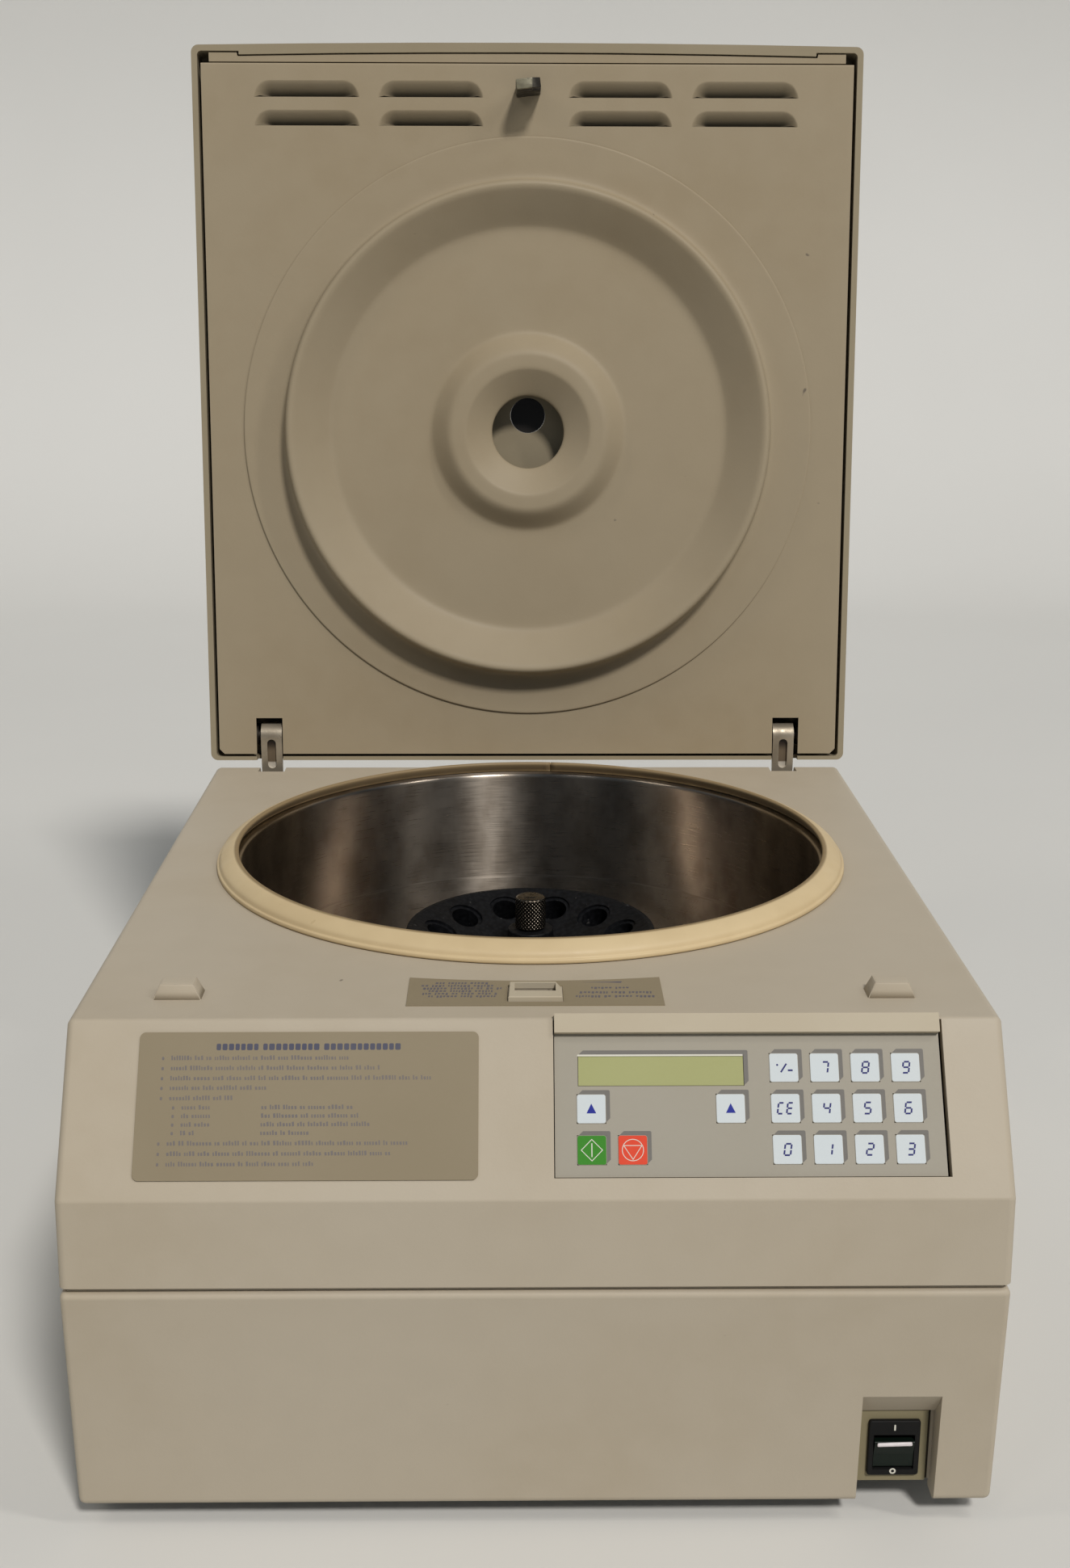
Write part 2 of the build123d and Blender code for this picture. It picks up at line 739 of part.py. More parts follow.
def make_guard_barrel():
    outer = guard_inner_radius + guard_wall
    top = case_top_z - case_wall - guard_top_gap
    inner = guard_inner_radius
    shelf = shelf_top_z - shelf_thickness
    return turned([(outer, plate_top_z), (outer, top), (inner, top), (inner, shelf_top_z),
                   (shelf_inner_radius, shelf_top_z), (shelf_inner_radius, shelf), (inner, shelf),
                   (inner, plate_top_z)])


def make_bowl_cushion():
    return turned([(cushion_inner_radius, shelf_top_z), (cushion_outer_radius, shelf_top_z),
                   (cushion_outer_radius, shelf_top_z + cushion_height),
                   (cushion_inner_radius, shelf_top_z + cushion_height)])


def make_motor_mounts():
    mounts = [rod_z(x, y, plate_top_z, motor_plate_z, motor_mount_radius).solid() for x, y in mount_places()]
    return Compound(mounts)


def make_motor_plate():
    hole = motor_radius + shaft_clearance
    top = motor_plate_z + motor_plate_thickness
    return turned([(hole, motor_plate_z), (motor_plate_radius, motor_plate_z, 1.5),
                   (motor_plate_radius, top, 1.5), (hole, top)])


def make_motor_housing():
    bore = shaft_radius + shaft_clearance
    flange = motor_plate_z + motor_plate_thickness
    boss_top = motor_top_z + motor_boss_height
    bearing = bearing_outer_radius
    return turned([(bearing, motor_bottom_z), (motor_radius, motor_bottom_z, 3), (motor_radius, flange),
                   (motor_flange_radius, flange), (motor_flange_radius, flange + motor_flange_height),
                   (motor_radius, flange + motor_flange_height), (motor_radius, motor_top_z, 4),
                   (motor_boss_radius, motor_top_z), (motor_boss_radius, boss_top), (bearing, boss_top),
                   (bearing, boss_top - bearing_height), (bore, boss_top - bearing_height),
                   (bore, motor_bottom_z + bearing_height), (bearing, motor_bottom_z + bearing_height)])


def make_motor_bearings():
    inner = shaft_radius + running_fit
    outer = bearing_outer_radius
    rings = []
    for low in (motor_bottom_z, motor_top_z + motor_boss_height - bearing_height):
        rings.append(turned([(inner, low), (outer, low, 0.8), (outer, low + bearing_height, 0.8),
                             (inner, low + bearing_height)]).solid())
    return Compound(rings)


def make_shaft_gaiter():
    floor_bottom = bowl_floor_z - bowl_sheet
    grip = bowl_hole_radius + gaiter_grip
    neck = bowl_hole_radius - ring_fit
    low = motor_top_z + motor_boss_height / 2
    high = motor_top_z + motor_boss_height
    inner = motor_boss_radius + running_fit
    return turned([(inner, low), (inner + gaiter_wall, low), (inner + gaiter_wall, high - 2),
                   (grip, floor_bottom - gaiter_wall / 2), (grip, floor_bottom), (neck, floor_bottom),
                   (neck, bowl_floor_z), (grip, bowl_floor_z), (grip, bowl_floor_z + gaiter_wall / 2),
                   (neck - gaiter_wall, bowl_floor_z + gaiter_wall / 2), (inner, high)])


def make_spindle():
    collar_bottom = rotor_bottom_z - spindle_collar_height
    shoulder = rotor_hub_z - spindle_top_gap
    return turned([(0, motor_bottom_z + 1), (shaft_radius, motor_bottom_z + 1), (shaft_radius, collar_bottom),
                   (spindle_collar_radius, collar_bottom), (spindle_collar_radius, rotor_bottom_z),
                   (spindle_radius, rotor_bottom_z), (spindle_radius, shoulder), (stud_radius, shoulder),
                   (stud_radius, shoulder + stud_length), (0, shoulder + stud_length)])


def dish_z(radius):
    """Height of the rotor's hollow cone at a radius."""
    edge = rotor_rim_radius - rotor_rim_land
    return rotor_rim_z - (edge - radius) * math.tan(math.radians(rotor_dish_angle))


def make_rotor():
    bore = spindle_radius + running_fit
    shoulder = rotor_hub_z - spindle_top_gap + 0.5
    stud = stud_radius + 0.5
    edge = rotor_rim_radius - rotor_rim_land
    foot = dish_z(rotor_dish_foot_radius)
    rotor = turned([(bore, rotor_bottom_z), (rotor_underside_radius, rotor_bottom_z),
                    (rotor_foot_radius, rotor_bottom_z + rotor_foot_height, 1.0),
                    (rotor_foot_radius, rotor_bottom_z + 3 * rotor_foot_height, 4.0),
                    (rotor_rim_radius, rotor_rim_z, 1.4), (edge, rotor_rim_z, 1.0),
                    (rotor_dish_foot_radius, foot, 6.0), (rotor_hub_radius + 2, foot, 1.5),
                    (rotor_hub_radius, rotor_hub_z, 1.0), (stud, rotor_hub_z), (stud, shoulder),
                    (bore, shoulder)])
    mouth_z = dish_z(tube_circle_radius)
    for i in range(tube_count):
        turn = 360 * (i + 0.5) / tube_count
        frame = Pos(0, bowl_y, 0) * Rot(0, 0, turn) * Pos(tube_circle_radius, 0, mouth_z)
        frame = frame * Rot(0, -rotor_dish_angle, 0)
        bore_tool = Pos(0, 0, -tube_depth / 2 + 10) * Cylinder(tube_bore_radius, tube_depth + 20)
        bore_tool += Pos(0, 0, -tube_depth) * Sphere(tube_bore_radius)
        rim_tool = Pos(0, 0, 10 - tube_rim_depth) * Cylinder(tube_rim_radius, 20)
        rotor -= frame * bore_tool
        rotor -= frame * rim_tool
    return rotor


def make_rotor_nut():
    body = turned([(0, nut_bottom_z), (nut_radius, nut_bottom_z, nut_round),
                   (nut_radius, nut_top_z, nut_round), (0, nut_top_z)])
    for i in range(nut_knurls):
        flute = Pos(nut_radius + nut_knurl_depth, 0, 0) * Cylinder(2 * nut_knurl_depth, nut_height - 5)
        body -= Pos(0, bowl_y, (nut_bottom_z + nut_top_z) / 2) * Rot(0, 0, 360 * i / nut_knurls) * flute
    body -= rod_z(0, bowl_y, nut_bottom_z, nut_top_z - nut_cap, stud_radius + running_fit)
    return body


# ------------------------------------------------------------------ hinge
def make_hinge_arm(x):
    half = hinge_arm_width / 2
    arm = block(x - half, x + half, arm_front_y, arm_rear_y, hinge_arm_bottom_z, hinge_pivot_z)
    arm += rod_x(hinge_pivot_y, hinge_pivot_z, x - half, x + half, hinge_eye_radius)
    arm -= rod_x(hinge_pivot_y, hinge_pivot_z, x - half, x + half, hinge_eye_radius - hinge_arm_thickness)
    low = case_top_z - hinge_groove_bottom + hinge_groove_width / 2
    high = case_top_z + hinge_groove_top - hinge_groove_width / 2
    depth_y = arm_front_y + hinge_groove_depth
    arm -= block(x - hinge_groove_width / 2, x + hinge_groove_width / 2, arm_front_y - 1, depth_y, low, high)
    for z in (low, high):
        arm -= rod_y(x, z, arm_front_y - 1, depth_y, hinge_groove_width / 2)
    for drop in hinge_screw_drops:
        arm -= rod_y(x, case_top_z - drop, arm_front_y, arm_rear_y, screw_radius + screw_clearance)
    return arm


def make_hinge_post(x):
    half = hinge_arm_width / 2
    top = case_top_z - post_top_drop
    back_y = arm_front_y - post_thickness
    wall_y = case_rear_y - case_wall - post_wall_gap
    post = block(x - half, x + half, back_y, wall_y, plate_top_z, top)
    post += block(x - half, x + half, back_y, arm_front_y, hinge_arm_bottom_z - post_pad_margin, top)
    post += block(x - half, x + half, wall_y - post_foot_length, wall_y, plate_top_z,
                  plate_top_z + post_foot_height)
    for drop in hinge_screw_drops:
        post -= rod_y(x, case_top_z - drop, back_y, arm_front_y, screw_radius + screw_clearance)
    return post


def make_hinge_bush(x):
    half = hinge_arm_width / 2
    outer = hinge_eye_radius - hinge_arm_thickness
    bush = rod_x(hinge_pivot_y, hinge_pivot_z, x - half, x + half, outer)
    return bush - rod_x(hinge_pivot_y, hinge_pivot_z, x - half, x + half, hinge_pin_radius + running_fit)


def make_hinge_pin(x):
    reach = hinge_arm_width / 2 + ear_gap + ear_thickness
    return opened(rod_x(hinge_pivot_y, hinge_pivot_z, x - reach, x + reach, hinge_pin_radius))


def make_lid_ears(x):
    ears = []
    for side in (-1, 1):
        inner = x + side * (hinge_arm_width / 2 + ear_gap)
        outer = inner + side * ear_thickness
        low, high = sorted((inner, outer))
        ear = rod_x(hinge_pivot_y, hinge_pivot_z, low, high, ear_radius)
        ear += block(low, high, hinge_pivot_y - ear_radius, hinge_pivot_y + ear_radius,
                     hinge_pivot_z, lid_inner_z)
        low, high = sorted((inner, outer + side * ear_foot_width))
        ear += block(low, high, hinge_pivot_y - ear_radius, hinge_pivot_y + ear_radius,
                     lid_inner_z - ear_foot_height, lid_inner_z)
        ear -= rod_x(hinge_pivot_y, hinge_pivot_z, low, high, hinge_pin_radius)
        ears.append(opened(ear).solid())
    return Compound(ears)


# ------------------------------------------------------------------ lid
def bowed_plate(half_width, y_middle, y_side, y_back, z0, z1):
    """Plate whose front edge is a shallow arc."""
    edges = [ThreePointArc((-half_width, y_side), (0, y_middle), (half_width, y_side)),
             Line((half_width, y_side), (half_width, y_back)),
             Line((half_width, y_back), (-half_width, y_back)),
             Line((-half_width, y_back), (-half_width, y_side))]
    return Pos(0, 0, z0) * extrude(make_face(edges), z1 - z0)


def make_lid_shell():
    shell = bowed_plate(lid_half_width, lid_front_y, lid_front_y + lid_front_bow, lid_rear_y,
                        panel_z, lid_top_z)
    shell = fillet(shell.edges().filter_by(Axis.Z), lid_corner_round)
    shell = fillet(shell.faces().sort_by(Axis.Z)[-1].edges(), lid_edge_round)
    cavity_half = lid_half_width - lid_side_rim
    cavity_front = lid_front_y + lid_front_rim
    cavity_rear = panel_rear_y + panel_rear_gap
    cavity = bowed_plate(lid_corner_x, cavity_front, cavity_front + lid_front_bow, cavity_rear,
                         panel_z - 1, lid_inner_z)
    for side in (-1, 1):
        low, high = sorted((side * (lid_corner_x - 1), side * cavity_half))
        cavity += block(low, high, lid_front_y + lid_front_bow + lid_corner_step, cavity_rear,
                        panel_z - 1, lid_inner_z)
    cavity = fillet(cavity.edges().filter_by(Axis.Z)
                    .filter_by(lambda e: abs(e.center().X) > cavity_half - 1), lid_corner_round - 2)
    shell -= cavity
    for x in (-lid_corner_x, 0, lid_corner_x):
        for y in (lid_front_y + lid_post_front, panel_rear_y - lid_post_rear):
            if x == 0 and y < bowl_y:
                continue
            shell += rod_z(x, y, panel_z + panel_sheet, lid_inner_z + 1, lid_post_radius)
    for side in (-1, 1):
        x = side * hinge_notch_x
        shell -= block(x - notch_half_width, x + notch_half_width, cavity_rear - 1, lid_rear_y + 1,
                       panel_z - 1, panel_z + hinge_rim_notch_height)
    shell -= rod_z(0, bowl_y - sight_port_offset, lid_inner_z - 1, lid_top_z + 1, sight_port_radius)
    return opened(shell)


def make_louvre(x, y):
    """One sunk louvre: the cut through the panel, and the flap behind it."""
    half = louvre_length / 2
    cut = block(x - half, x + half, y, y + louvre_height, panel_z - 1, panel_z + panel_sheet + 0.01)
    deep = panel_z + louvre_depth
    flap = prism_x([(y, panel_z), (y + louvre_height, deep), (y + louvre_height, deep + louvre_sheet),
                    (y, panel_z + panel_sheet)], x - half, x + half)
    cheek = prism_x([(y, panel_z), (y + louvre_height, panel_z), (y + louvre_height, deep + louvre_sheet),
                     (y, panel_z + panel_sheet)], 0, louvre_sheet)
    flap += Pos(x - half, 0, 0) * cheek
    flap += Pos(x + half - louvre_sheet, 0, 0) * cheek
    return cut, flap


def make_lid_liner():
    liner = prism_z([(-panel_half_width, panel_fold_y), (panel_half_width, panel_fold_y),
                     (panel_half_width, panel_rear_y - panel_corner_chamfer),
                     (panel_half_width - panel_corner_chamfer, panel_rear_y),
                     (-panel_half_width + panel_corner_chamfer, panel_rear_y),
                     (-panel_half_width, panel_rear_y - panel_corner_chamfer)],
                    panel_z, panel_z + panel_sheet)
    strip_front = lid_front_y + lid_front_rim + panel_strip_gap
    strip_half = panel_half_width - panel_strip_inset
    strip_low = panel_z + panel_fold_step
    strip_back = panel_fold_y + panel_sheet
    strip = bowed_plate(lid_corner_x - 1, strip_front, strip_front + lid_front_bow, strip_back,
                        strip_low, strip_low + panel_sheet)
    corner_front = lid_front_y + lid_front_bow + lid_corner_step + panel_strip_gap
    for side in (-1, 1):
        low, high = sorted((side * (lid_corner_x + 0.5), side * strip_half))
        strip += block(low, high, corner_front, strip_back, strip_low, strip_low + panel_sheet)
        low, high = sorted((side * (lid_corner_x - 2), side * (lid_corner_x + 1)))
        strip += block(low, high, strip_front + lid_front_bow, strip_back, strip_low, strip_low + panel_sheet)
    liner += strip
    liner -= rod_z(0, bowl_y, panel_z - 1, panel_z + panel_sheet + 1, dish_hole_in_panel)
    for side in (-1, 1):
        x = side * hinge_notch_x
        liner -= block(x - notch_half_width, x + notch_half_width, panel_rear_y - hinge_notch_front,
                       panel_rear_y + 1, panel_z - 1, panel_z + panel_sheet + 1)
    for row in range(2):
        for start in louvre_inner_x:
            for side in (-1, 1):
                x = side * (start + louvre_length / 2)
                cut, flap = make_louvre(x, louvre_front_y + row * louvre_row_pitch)
                liner = liner - cut + flap
    return opened(liner)


def make_lid_dish():
    flange = panel_z - dish_sheet
    points = [(dish_flange_radius, flange), (dish_wall_radius, flange),
              (dish_crest_radius, panel_z - dish_crest_height),
              (dish_crest_radius - dish_crest_land, panel_z - dish_crest_height),
              (dish_floor_radius, panel_z - dish_floor_height),
              (boss_base_radius, panel_z - dish_floor_height),
              (boss_top_radius, panel_z - boss_height), (boss_cone_radius, panel_z - boss_height),
              (boss_hole_radius, panel_z - boss_height + boss_cone_depth)]
    dish = turned(sheet_outline(points, -dish_sheet))
    return opened(dish)


def make_sight_window():
    disc = rod_z(0, bowl_y - sight_port_offset, lid_inner_z, lid_inner_z + sight_window_thickness,
                 sight_port_radius - sight_window_fit)
    return opened(disc)


def make_latch_striker():
    half_x = striker_width / 2
    half_y = striker_thickness / 2
    tip = panel_z - striker_length
    bar = block(-half_x, half_x, striker_y - half_y, striker_y + half_y, tip, panel_z)
    edge = half_x - striker_ramp_width
    ramp = make_face(Polyline((edge, tip), (half_x, tip), (half_x, tip + striker_ramp_height), close=True))
    ramp = Plane.XZ.location * extrude(ramp, striker_thickness * 2, both=True)
    bar -= Pos(0, striker_y, 0) * ramp
    notch = tip + striker_notch_from_tip
    bar -= block(half_x - striker_notch_depth, half_x + 1, striker_y - half_y - 1, striker_y + half_y + 1,
                 notch, notch + striker_notch_height)
    return opened(bar)


# ------------------------------------------------------------------ fascia fittings
def make_instruction_plate():
    r = instruction_corner
    plate = prism_z([(instruction_left, -instruction_bottom, r), (instruction_right, -instruction_bottom, r),
                     (instruction_right, -instruction_top, r), (instruction_left, -instruction_top, r)],
                    0, instruction_thickness)
    return fascia_plane.location * plate


def key_places():
    """Name and top left corner of every key, across and down the fascia."""
    rows = (("point", "7", "8", "9"), ("clear", "4", "5", "6"), ("0", "1", "2", "3"))
    places = {}
    for row, names in enumerate(rows):
        for column, name in enumerate(names):
            places["key_" + name] = (number_keys_left + column * number_key_pitch, key_top + row * key_pitch)
    arrows_top = key_top + key_pitch
    places["key_left_arrow"] = (control_keys_left, arrows_top)
    places["key_right_arrow"] = (right_arrow_left, arrows_top)
    places["key_start"] = (control_keys_left, key_top + 2 * key_pitch)
    places["key_stop"] = (control_keys_left + key_pitch, key_top + 2 * key_pitch)
    return places


def make_control_frame():
    left = control_left + control_clearance
    right = control_right - control_side_gap
    frame = fascia_block(left, right, hood_bottom - 1, control_bottom - control_clearance,
                         control_plate_bottom, overlay_bottom)
    # the hood lies on the fascia and its top corner, and reaches into the aperture
    reach = hood_overlap * fascia_drop / fascia_run
    hood = make_face(Polyline((-hood_bottom, control_plate_bottom), (-hood_bottom, hood_rise),
                              (hood_overlap, hood_rise), (hood_overlap, -reach), (0, 0),
                              (-hood_seat - control_clearance, 0),
                              (-hood_seat - control_clearance, control_plate_bottom), close=True))
    hood = Plane(origin=(left, 0, 0), x_dir=(0, 1, 0), z_dir=(1, 0, 0)).location * extrude(hood, right - left)
    frame += fascia_plane.location * hood
    for x in (left + 8, right - 8):
        for down in (hood_bottom + 8, control_bottom - 8):
            post = rod_z(x, -down, board_top, control_plate_bottom, board_post_radius)
            frame += fascia_plane.location * post
    return frame


def make_keypad_overlay():
    left = control_left + control_clearance
    right = control_right - control_side_gap
    overlay = fascia_block(left, right, hood_bottom, control_bottom - control_clearance,
                           overlay_bottom, overlay_top)
    overlay -= fascia_block(display_left, display_right, display_top, display_bottom,
                            overlay_bottom - 1, overlay_top + 1)
    gap = key_clearance
    for x, down in key_places().values():
        overlay -= fascia_block(x - gap, x + key_size + gap, down - gap, down + key_size + gap,
                                overlay_bottom - 1, overlay_top + 1)
    return overlay


def make_display_window():
    gap = key_clearance
    return fascia_block(display_left + gap, display_right - gap, display_top + gap, display_bottom - gap,
                        overlay_bottom, overlay_top - 0.3)


def make_key(x, down):
    top = overlay_top + key_proud
    key = fascia_block(x, x + key_size, down, down + key_size, top - key_thickness, top)
    return fillet(key.edges().filter_by(lambda e: abs(e.length - key_thickness) < 1e-3), 1.0)


def make_display_board():
    left = control_left + control_clearance + 2
    right = control_right - control_side_gap - 2
    return fascia_block(left, right, hood_bottom + 2, control_bottom - 4,
                        board_top - board_thickness, board_top)


# ------------------------------------------------------------------ latch fittings
def make_latch_label():
    back = latch_label_rear_y
    half = latch_label_half_width
    edges = [Line((-half, latch_label_front_y), (half, latch_label_front_y)),
             Line((half, latch_label_front_y), (half, back)),
             ThreePointArc((half, back), (0, back - latch_label_bow), (-half, back)),
             Line((-half, back), (-half, latch_label_front_y))]
    label = Pos(0, 0, case_top_z) * extrude(make_face(edges), latch_label_thickness)
    gap = latch_cover_clearance
    frame_half = latch_frame_half_width + gap
    return label - block(-frame_half, frame_half, latch_frame_front_y - gap, latch_frame_rear_y + gap,
                         case_top_z - 1, case_top_z + 5)


def make_latch_frame():
    half = latch_frame_half_width
    c = latch_frame_chamfer
    frame = prism_z([(-half, latch_frame_front_y), (half, latch_frame_front_y),
                     (half, latch_frame_rear_y - 3 * c), (half - c, latch_frame_rear_y),
                     (-half + 0.6, latch_frame_rear_y)], case_top_z, case_top_z + latch_frame_height)
    frame = fillet(frame.faces().sort_by(Axis.Z)[-1].edges(), 0.6)
    return frame - block(-latch_slot_half_width, latch_slot_half_width, latch_slot_front_y, latch_slot_rear_y,
                         case_top_z - 1, case_top_z + 10)


def bolt_centre_z():
    """Height of the lock bolt: the middle of the striker's notch with the lid closed."""
    return panel_z - striker_length + striker_notch_from_tip + striker_notch_height / 2


def make_lock_housing():
    top = case_top_z - case_wall
    bottom = top - lock_height
    slot_mid_y = (latch_slot_front_y + latch_slot_rear_y) / 2
    body = block(lock_left, lock_left + lock_length, slot_mid_y - lock_depth / 2, slot_mid_y + lock_depth / 2,
                 bottom, top)
    body -= block(-latch_slot_half_width - 1, latch_slot_half_width + 1, latch_slot_front_y - 1,
                  latch_slot_rear_y + 1, bottom + lock_wall / 2, top + 1)
    half_w = lock_bolt_width / 2 + bolt_fit
    half_t = lock_bolt_thickness / 2 + bolt_fit
    z = bolt_centre_z()
    body -= block(0, lock_left + lock_length - lock_wall, striker_y - half_w, striker_y + half_w,
                  z - half_t, z + half_t)
    return body


def make_lock_bolt():
    start = latch_slot_half_width + 1 - lock_bolt_rest_gap
    z = bolt_centre_z()
    return block(start, start + lock_bolt_length, striker_y - lock_bolt_width / 2,
                 striker_y + lock_bolt_width / 2, z - lock_bolt_thickness / 2, z + lock_bolt_thickness / 2)


# ------------------------------------------------------------------ mains switch
def make_switch_plate():
    plate = block(switch_plate_left, switch_plate_right, switch_plate_y,
                  switch_plate_y + switch_plate_thickness, switch_plate_bottom_z, switch_plate_top_z)
    barrel_w = bezel_width / 2 - bezel_barrel_shrink + plate_clearance
    barrel_h = bezel_height / 2 - bezel_barrel_shrink + plate_clearance
    return plate - block(bezel_centre_x - barrel_w, bezel_centre_x + barrel_w, switch_plate_y - 1,
                         switch_plate_y + 5, bezel_centre_z - barrel_h, bezel_centre_z + barrel_h)


def make_switch_bezel():
    w, h = bezel_width / 2, bezel_height / 2
    x, z = bezel_centre_x, bezel_centre_z
    face = block(x - w, x + w, bezel_front_y, switch_plate_y, z - h, z + h)
    face = fillet(face.edges().filter_by(Axis.Y), 1.5)
    face = fillet(face.faces().sort_by(Axis.Y)[0].edges(), 0.8)
    w, h = w - bezel_barrel_shrink, h - bezel_barrel_shrink
    body = face + block(x - w, x + w, switch_plate_y, switch_plate_y + bezel_depth, z - h, z + h)
    half_w, half_h = rocker_window_width / 2, rocker_window_height / 2
    z = rocker_z
    body -= block(x - half_w, x + half_w, bezel_front_y - 1, switch_plate_y + bezel_depth - 2,
                  z - half_h, z + half_h)
    for side in (-1, 1):
        low, high = sorted((side * (half_w - rocker_clearance), side * (half_w + rocker_axle_reach)))
        body -= rod_x(rocker_y, z, x + low, x + high, rocker_axle_radius + running_fit)
    return body


def make_rocker():
    half_w = rocker_window_width / 2 - rocker_clearance
    reach = rocker_window_height / 2 - rocker_end_gap
    profile = [(-rocker_front, reach, 0.8), (-rocker_front + rocker_hollow, 0), (-rocker_front, -reach, 0.8),
               (4.0, -reach * 0.6), (4.0, reach * 0.6)]
    rocker = prism_x(profile, -half_w, half_w)
    axle = half_w + rocker_axle_reach
    rocker += rod_x(0, 0, -axle, axle, rocker_axle_radius)
    return Pos(bezel_centre_x, rocker_y, rocker_z) * Rot(rocker_tilt, 0, 0) * rocker


# ------------------------------------------------------------------ electrical pieces inside
def make_transformer():
    w, d, h = transformer_size
    x, y = transformer_x, transformer_y
    core = block(x - w / 2, x + w / 2, y - d / 4, y + d / 4, plate_top_z, plate_top_z + h)
    coil = block(x - w / 3, x + w / 3, y - d / 2, y + d / 2, plate_top_z + h * 0.2, plate_top_z + h * 0.8)
    return core + coil


def make_power_board():
    w, d, t = power_board_size
    x, y = power_board_x, power_board_y
    low = plate_top_z + power_board_standoff
    board = block(x - w / 2, x + w / 2, y - d / 2, y + d / 2, low, low + t)
    for sx in (-1, 1):
        for sy in (-1, 1):
            board += rod_z(x + sx * (w / 2 - power_board_post_inset), y + sy * (d / 2 - power_board_post_inset),
                           plate_top_z, low, power_board_post)
    for i in range(capacitor_count):
        at = x - w / 2 + capacitor_inset + i * w / (capacitor_count + 1)
        board += rod_z(at, y, low + t, low + t + capacitor_height, capacitor_radius)
    return board


# ------------------------------------------------------------------ every node, then the files
def build_nodes():
    """Each named piece of the centrifuge, in its place with the lid open."""
    nodes = {
        "base_plate": make_base_plate(),
        "rubber_feet": make_feet(),
        "case_screws": make_screws(),
        "lower_housing": make_lower_housing(),
        "rear_panel": make_rear_panel(),
        "mains_inlet": make_mains_inlet(),
        "top_cover": make_top_cover(),
        "sealing_ring": make_sealing_ring(),
        "bowl": make_bowl(),
        "guard_barrel": make_guard_barrel(),
        "bowl_cushion": make_bowl_cushion(),
        "motor_mounts": make_motor_mounts(),
        "motor_plate": make_motor_plate(),
        "motor_housing": make_motor_housing(),
        "motor_bearings": make_motor_bearings(),
        "shaft_gaiter": make_shaft_gaiter(),
        "spindle": make_spindle(),
        "rotor": make_rotor(),
        "rotor_nut": make_rotor_nut(),
        "hinge_arms": mirrored_pair(make_hinge_arm(hinge_arm_x)),
        "hinge_posts": mirrored_pair(make_hinge_post(hinge_arm_x)),
        "hinge_bushes": mirrored_pair(make_hinge_bush(hinge_arm_x)),
        "hinge_pins": mirrored_pair(make_hinge_pin(hinge_arm_x)),
        "lid_hinge_ears": mirrored_pair(make_lid_ears(hinge_arm_x)),
        "lid_shell": make_lid_shell(),
        "lid_liner": make_lid_liner(),
        "lid_dish": make_lid_dish(),
        "sight_window": make_sight_window(),
        "latch_striker": make_latch_striker(),
        "instruction_plate": make_instruction_plate(),
        "control_frame": make_control_frame(),
        "keypad_overlay": make_keypad_overlay(),
        "display_window": make_display_window(),
        "display_board": make_display_board(),
        "latch_label": make_latch_label(),
        "latch_frame": make_latch_frame(),
        "lock_housing": make_lock_housing(),
        "lock_bolt": make_lock_bolt(),
        "switch_plate": make_switch_plate(),
        "switch_bezel": make_switch_bezel(),
        "mains_rocker": make_rocker(),
        "transformer": make_transformer(),
        "power_board": make_power_board(),
    }
    for name, (x, down) in key_places().items():
        nodes[name] = make_key(x, down)
    return nodes


def main():
    nodes = build_nodes()
    boxes = [shape.bounding_box() for shape in nodes.values()]
    lowest_y = min(box.min.Y for box in boxes)
    highest_y = max(box.max.Y for box in boxes)
    centre_y = (lowest_y + highest_y) / 2
    os.makedirs("parts", exist_ok=True)
    for name, shape in nodes.items():
        export_step(Pos(0, -centre_y, 0) * shape, os.path.join("parts", name + ".step"))
    press = fascia_plane.z_dir * -1
    print("origin lies behind the front top edge by", round(centre_y, 4))
    print("lid hinge at y, z", round(hinge_pivot_y - centre_y, 4), round(hinge_pivot_z, 4))
    print("rotor axis at y", round(bowl_y - centre_y, 4))
    rocker_axis = (bezel_centre_x, rocker_y - centre_y, rocker_z)
    print("rocker axis at x, y, z", *(round(value, 4) for value in rocker_axis))
    print("keys press along", round(press.X, 6), round(press.Y, 6), round(press.Z, 6))


main()
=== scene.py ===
"""Looks of a bench-top centrifuge that stands with its lid open.

Every size below is in millimetres in the bench frame of the machine: X from left to right, Y from
front to back with zero at the front edge of the flat top, Z up from the bench. Points are turned
into metres round the frame's own origin only when they go into a mesh.
"""
import logging
import math
from dataclasses import dataclass, field
from enum import Enum
from typing import Callable, Iterable, Sequence

import bmesh
import bpy
import numpy as np
from mathutils import Matrix


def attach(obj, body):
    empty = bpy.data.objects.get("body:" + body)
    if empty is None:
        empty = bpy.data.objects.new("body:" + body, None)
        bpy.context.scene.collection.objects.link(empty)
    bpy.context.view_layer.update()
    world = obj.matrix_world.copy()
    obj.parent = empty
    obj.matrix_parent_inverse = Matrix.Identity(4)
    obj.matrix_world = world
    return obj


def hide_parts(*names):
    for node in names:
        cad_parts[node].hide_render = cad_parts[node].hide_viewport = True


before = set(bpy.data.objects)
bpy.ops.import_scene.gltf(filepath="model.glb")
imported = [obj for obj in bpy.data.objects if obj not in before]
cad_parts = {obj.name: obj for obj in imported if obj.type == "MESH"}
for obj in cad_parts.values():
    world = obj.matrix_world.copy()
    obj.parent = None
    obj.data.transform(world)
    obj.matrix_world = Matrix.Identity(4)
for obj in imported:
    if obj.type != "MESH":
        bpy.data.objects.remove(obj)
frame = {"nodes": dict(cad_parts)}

logging.basicConfig(level=logging.INFO, format="%(message)s")
LOG = logging.getLogger("centrifuge")

ORIGIN_Y = 244.4942
MILLIMETRE = 0.001
Colour = tuple[float, float, float]


